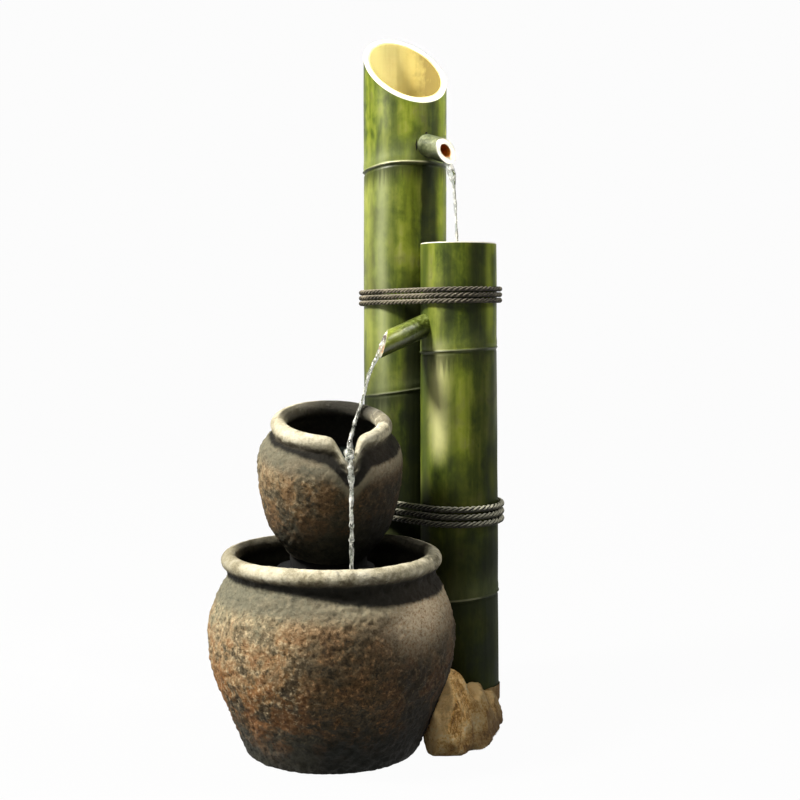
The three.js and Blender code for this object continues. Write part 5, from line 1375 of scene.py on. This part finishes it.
# Where the middle of each stream runs, in millimetres, and its radius there.
UPPER_STREAM = [
    (128.2, 112, 650.1, 3.0), (131, 109, 640.6, 4.6), (132.7, 107, 633.5, 5.0), (134.4, 106, 626.6, 4.2),
    (135.8, 105, 619.7, 2.6), (136.4, 105, 610.6, 1.8), (137.3, 105, 601.5, 1.6), (138.2, 104, 584.3, 1.4),
    (139.2, 104, 567.2, 1.5), (139.7, 104, 552.3, 1.5), (140.4, 104, 520, 1.7), (140.8, 104, 464, 2.2),
]
MIDDLE_STREAM = [
    (60.5, 57.5, 449, 3.4), (57.4, 53.6, 444.1, 3.3), (54.6, 51.2, 435.2, 2.9), (50.7, 48.8, 427.5, 2.6),
    (46.9, 46.3, 419.8, 2.5), (43, 43.9, 412.1, 2.3), (39.3, 41.5, 402.2, 2.1), (35.9, 39.1, 389, 1.8),
    (32.6, 36.7, 375.9, 1.7), (27.7, 34.3, 361.6, 1.7), (22.8, 31.8, 346.3, 1.9), (19, 29.4, 332.2, 2.3),
    (18.5, 27, 322, 3.2),
]
LIP_STREAM = [
    (20.4, -47, 324.5, 3.0), (21.4, -56, 328.3, 3.6), (22, -63, 328.5, 3.6), (22.6, -69.5, 325.5, 3.2),
    (23.4, -74, 318, 2.8), (24.1, -75.4, 309, 2.4), (24.5, -75.8, 299, 2.2), (24.4, -76, 260.4, 1.9),
    (24.4, -76, 219, 1.8), (24.4, -76, 190, 1.9), (24.4, -75, 164, 2.2), (24.2, -71, 140, 2.0),
    (24, -69.5, 110, 1.8), (24, -69, 72, 1.8),
]
stream("upper_stream", np.array(UPPER_STREAM), seed=300, beads=0.35, body=FIXED)
stream("middle_stream", np.array(MIDDLE_STREAM), seed=330, beads=0.4, body=FIXED)
stream("lip_stream", np.array(LIP_STREAM), seed=360, beads=0.8, body="small_jar")


# %% Pools
WIDEST_POOL, HALVINGS = 140.0, 26  # each point's reach is found by halving a span this often
WATER_GAP = 0.6  # between the water and the wall


def pool(name, centre, level, inside, body, seed, waves=0.5, sides=180, rings=26, depth=3.0):
    """A thin sheet of water at one level, as wide as `inside` (True within the wall) allows."""
    ring = circle(sides)[0]
    middle = np.array([*centre, level])
    low, high = np.zeros(sides), np.full(sides, WIDEST_POOL)
    for _ in range(HALVINGS):
        reach = (low + high) / 2
        within = inside(middle + reach[:, None] * ring)
        low, high = np.where(within, reach, low), np.where(within, high, reach)
    reach = (low - WATER_GAP)[:, None] * ring
    share = np.concatenate([np.linspace(0.03, 1, rings), np.linspace(0.97, 0.03, rings // 2)])
    drop = np.concatenate([np.zeros(rings), np.full(rings // 2, depth)])
    points = middle + share[:, None, None] * reach - drop[:, None, None] * (0, 0, 1)
    points[:rings, :, 2] += waves * lumps(points[:rings], 16, 2, seed)
    return dress(skin(name, points[::-1], sharp_deg=40), pool_finish, body)


def within_jar(shape, place, at):
    """True where a point is inside the jar's inner skin."""
    local = placed(at, np.linalg.inv(np.array(place)))
    inner = jar_outline(**shape)[2][::-1]
    return np.hypot(local[:, 0], local[:, 1]) < np.interp(local[:, 2], inner[:, 1], inner[:, 0])


def in_small_jar(at):
    return within_jar(SMALL, small_place, at)


def in_large_jar(at):
    return within_jar(LARGE, Matrix.Identity(4), at)


def in_short_culm(at):
    off = at[:, :2] - SHORT_TOP[:2] - SHORT_LEAN * 0.16
    return np.hypot(off[:, 0], off[:, 1]) < SHORT_TOP_R - SHORT_WALL


pool("small_jar_pool", (0, 10), 322, in_small_jar, "small_jar", seed=410)
pool("large_jar_pool", (0, 0), 164, in_large_jar, FIXED, seed=420, waves=0.7, sides=260, rings=50)
pool("short_culm_pool", SHORT_TOP[:2], 464, in_short_culm, FIXED, seed=430, waves=0.4, sides=90, rings=16)

# %% [markdown]
# ## Fittings that keep their shape
# The pump, the stand, the hoses, the clamps and the plugs were made true to shape in the part, so
# they stay as they are and only get their finish: fine moulded grain on the plastics, brushed
# bands on the steel, dust in the rubber, open pores in the sponge.


# %% Finishes for the fittings
def moulded(name, dark, pale, rough):
    """Moulded plastic: a very fine grain, and faint scuffs that dull it."""
    made = Finish(name, Specular_IOR_Level=0.35)
    grain, scuff = made.noise(0.6, 2, 0.6), made.noise(14, 5, 0.65)
    made.feed(
        Base_Color=made.ramp(scuff * 0.8 + grain * 0.25, (0.35, dark), (0.7, pale)),
        Roughness=rough + made.step(scuff, 0.45, 0.7) * 0.2,
    )
    return made.relief(grain, 0.08)


def soft_rubber(name):
    made = Finish(name, Specular_IOR_Level=0.35)
    dust, grain = made.noise(11, 5, 0.7), made.noise(0.9, 2)
    made.feed(
        Base_Color=made.ramp(dust, (0.4, "#090907"), (0.56, "#0F0E0C"), (0.72, "#1A1813")),
        Roughness=0.72 + dust * 0.25,
    )
    return made.relief(grain, 0.12)


def brushed_steel(name):
    made = Finish(name, Metallic=1.0)
    brush = made.noise(2.2, 4, 0.6, stretch=(0.15, 0.15, 3.0))
    spots = made.step(made.noise(5, 4, 0.7), 0.6, 0.72)
    made.feed(
        Base_Color=made.coats("#B8BAB8", (spots * 0.5, "#7C6A50"), (brush * 0.3, "#D9DAD6")),
        Roughness=0.24 + brush * 0.25 + spots * 0.2,
    )
    return made.relief(brush, 0.04)


print("finishes of plastic, rubber and steel ready")


# %% More finishes for the fittings
def clear_hose(name):
    made = Finish(name, IOR=1.48, Transmission_Weight=0.7, Specular_IOR_Level=0.5)
    haze = made.noise(18, 4, 0.6)
    made.feed(
        Base_Color=made.ramp(haze, (0.35, "#C3CBC1"), (0.7, "#E4EAE2")),
        Roughness=0.1 + made.step(haze, 0.5, 0.7) * 0.25,
    )
    return made.relief(made.noise(6, 2), 0.15)


def open_sponge(name):
    made = Finish(name, Roughness=0.95)
    pores = made.cells(1.1)
    made.feed(Base_Color=made.ramp(pores, (0.12, "#0A0A0B"), (0.4, "#1F1F21"), (0.8, "#3A3A3C")))
    return made.relief(pores, 0.8)


def ground_ceramic(name, dark, pale, rough):
    made = Finish(name, Specular_IOR_Level=0.5)
    fine, cloud = made.noise(0.8, 3, 0.6), made.noise(7, 3)
    made.feed(
        Base_Color=made.ramp(cloud * 0.6 + fine * 0.4, (0.35, dark), (0.65, pale)),
        Roughness=rough + fine * 0.15,
    )
    return made.relief(fine, 0.05)


def turned_wood(name):
    made = Finish(name, Roughness=0.7)
    growth = made.noise(7, 3, 0.5, stretch=(1, 1, 0.15), swirl=0.8)
    pores = made.noise(1.4, 3, 0.6, stretch=(1, 1, 0.1))
    made.feed(
        Base_Color=made.ramp(
            growth * 0.6 + pores * 0.25 + made.noise(30, 3) * 0.2,
            (0.4, "#5B3F22"), (0.55, "#8A6438"), (0.68, "#AE8650"),
        ),
        Roughness=0.6 + pores * 0.3,
    )
    return made.relief(pores, 0.25)


def numbered(name, count):
    """The name with _1, _2 and so on."""
    return [f"{name}_{number}" for number in range(1, count + 1)]


print("finishes of vinyl, sponge, ceramic and wood ready")

# %% Dress the fittings
FITTINGS = {
    "black_plastic": (
        moulded("black_plastic", "#070708", "#0E0E0F", 0.6),
        ["stand_plate", "pump_body", "pump_outlet", "intake_cover"],
    ),
    "grey_plastic": (
        moulded("grey_plastic", "#333639", "#4B4F52", 0.38),
        [
            *numbered("stand_leg", 3), "chamber_cover", "flow_dial", "tank_connector", "tank_nut",
            "foot_elbow", "spout_elbow",
        ],
    ),
    "rubber": (
        soft_rubber("rubber"),
        [
            "upper_spout_grommet", "lower_spout_grommet", "entry_grommet", "tank_gasket", "tilt_wedge",
            *numbered("stand_foot", 3), *numbered("suction_foot", 4), "front_shaft_bush",
            "rear_shaft_bush", "pump_cable_gland", "jar_cable_gland",
        ],
    ),
    "steel": (
        brushed_steel("steel"),
        [
            *numbered("plug_screw", 4), "pump_hose_clamp", "link_hose_clamp", "riser_foot_clamp",
            "riser_top_clamp",
        ],
    ),
    "clear_vinyl": (clear_hose("clear_vinyl"), ["pump_hose", "link_hose", "riser_tube"]),
    "sponge": (open_sponge("sponge"), ["intake_sponge"]),
    "white_ceramic": (ground_ceramic("white_ceramic", "#CFC9BC", "#E6E1D6", 0.22), ["rotor_shaft"]),
    "ferrite": (ground_ceramic("ferrite", "#141416", "#26262A", 0.45), ["impeller"]),
    "plug_wood": (turned_wood("plug_wood"), ["tall_culm_plug", "short_culm_plug"]),
}
for slot, (finish, nodes) in FITTINGS.items():
    for node in nodes:
        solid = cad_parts[node]
        solid.data.materials.clear()
        solid.data.materials.append(finish.material)
    print(slot, "on", len(nodes), "solids")
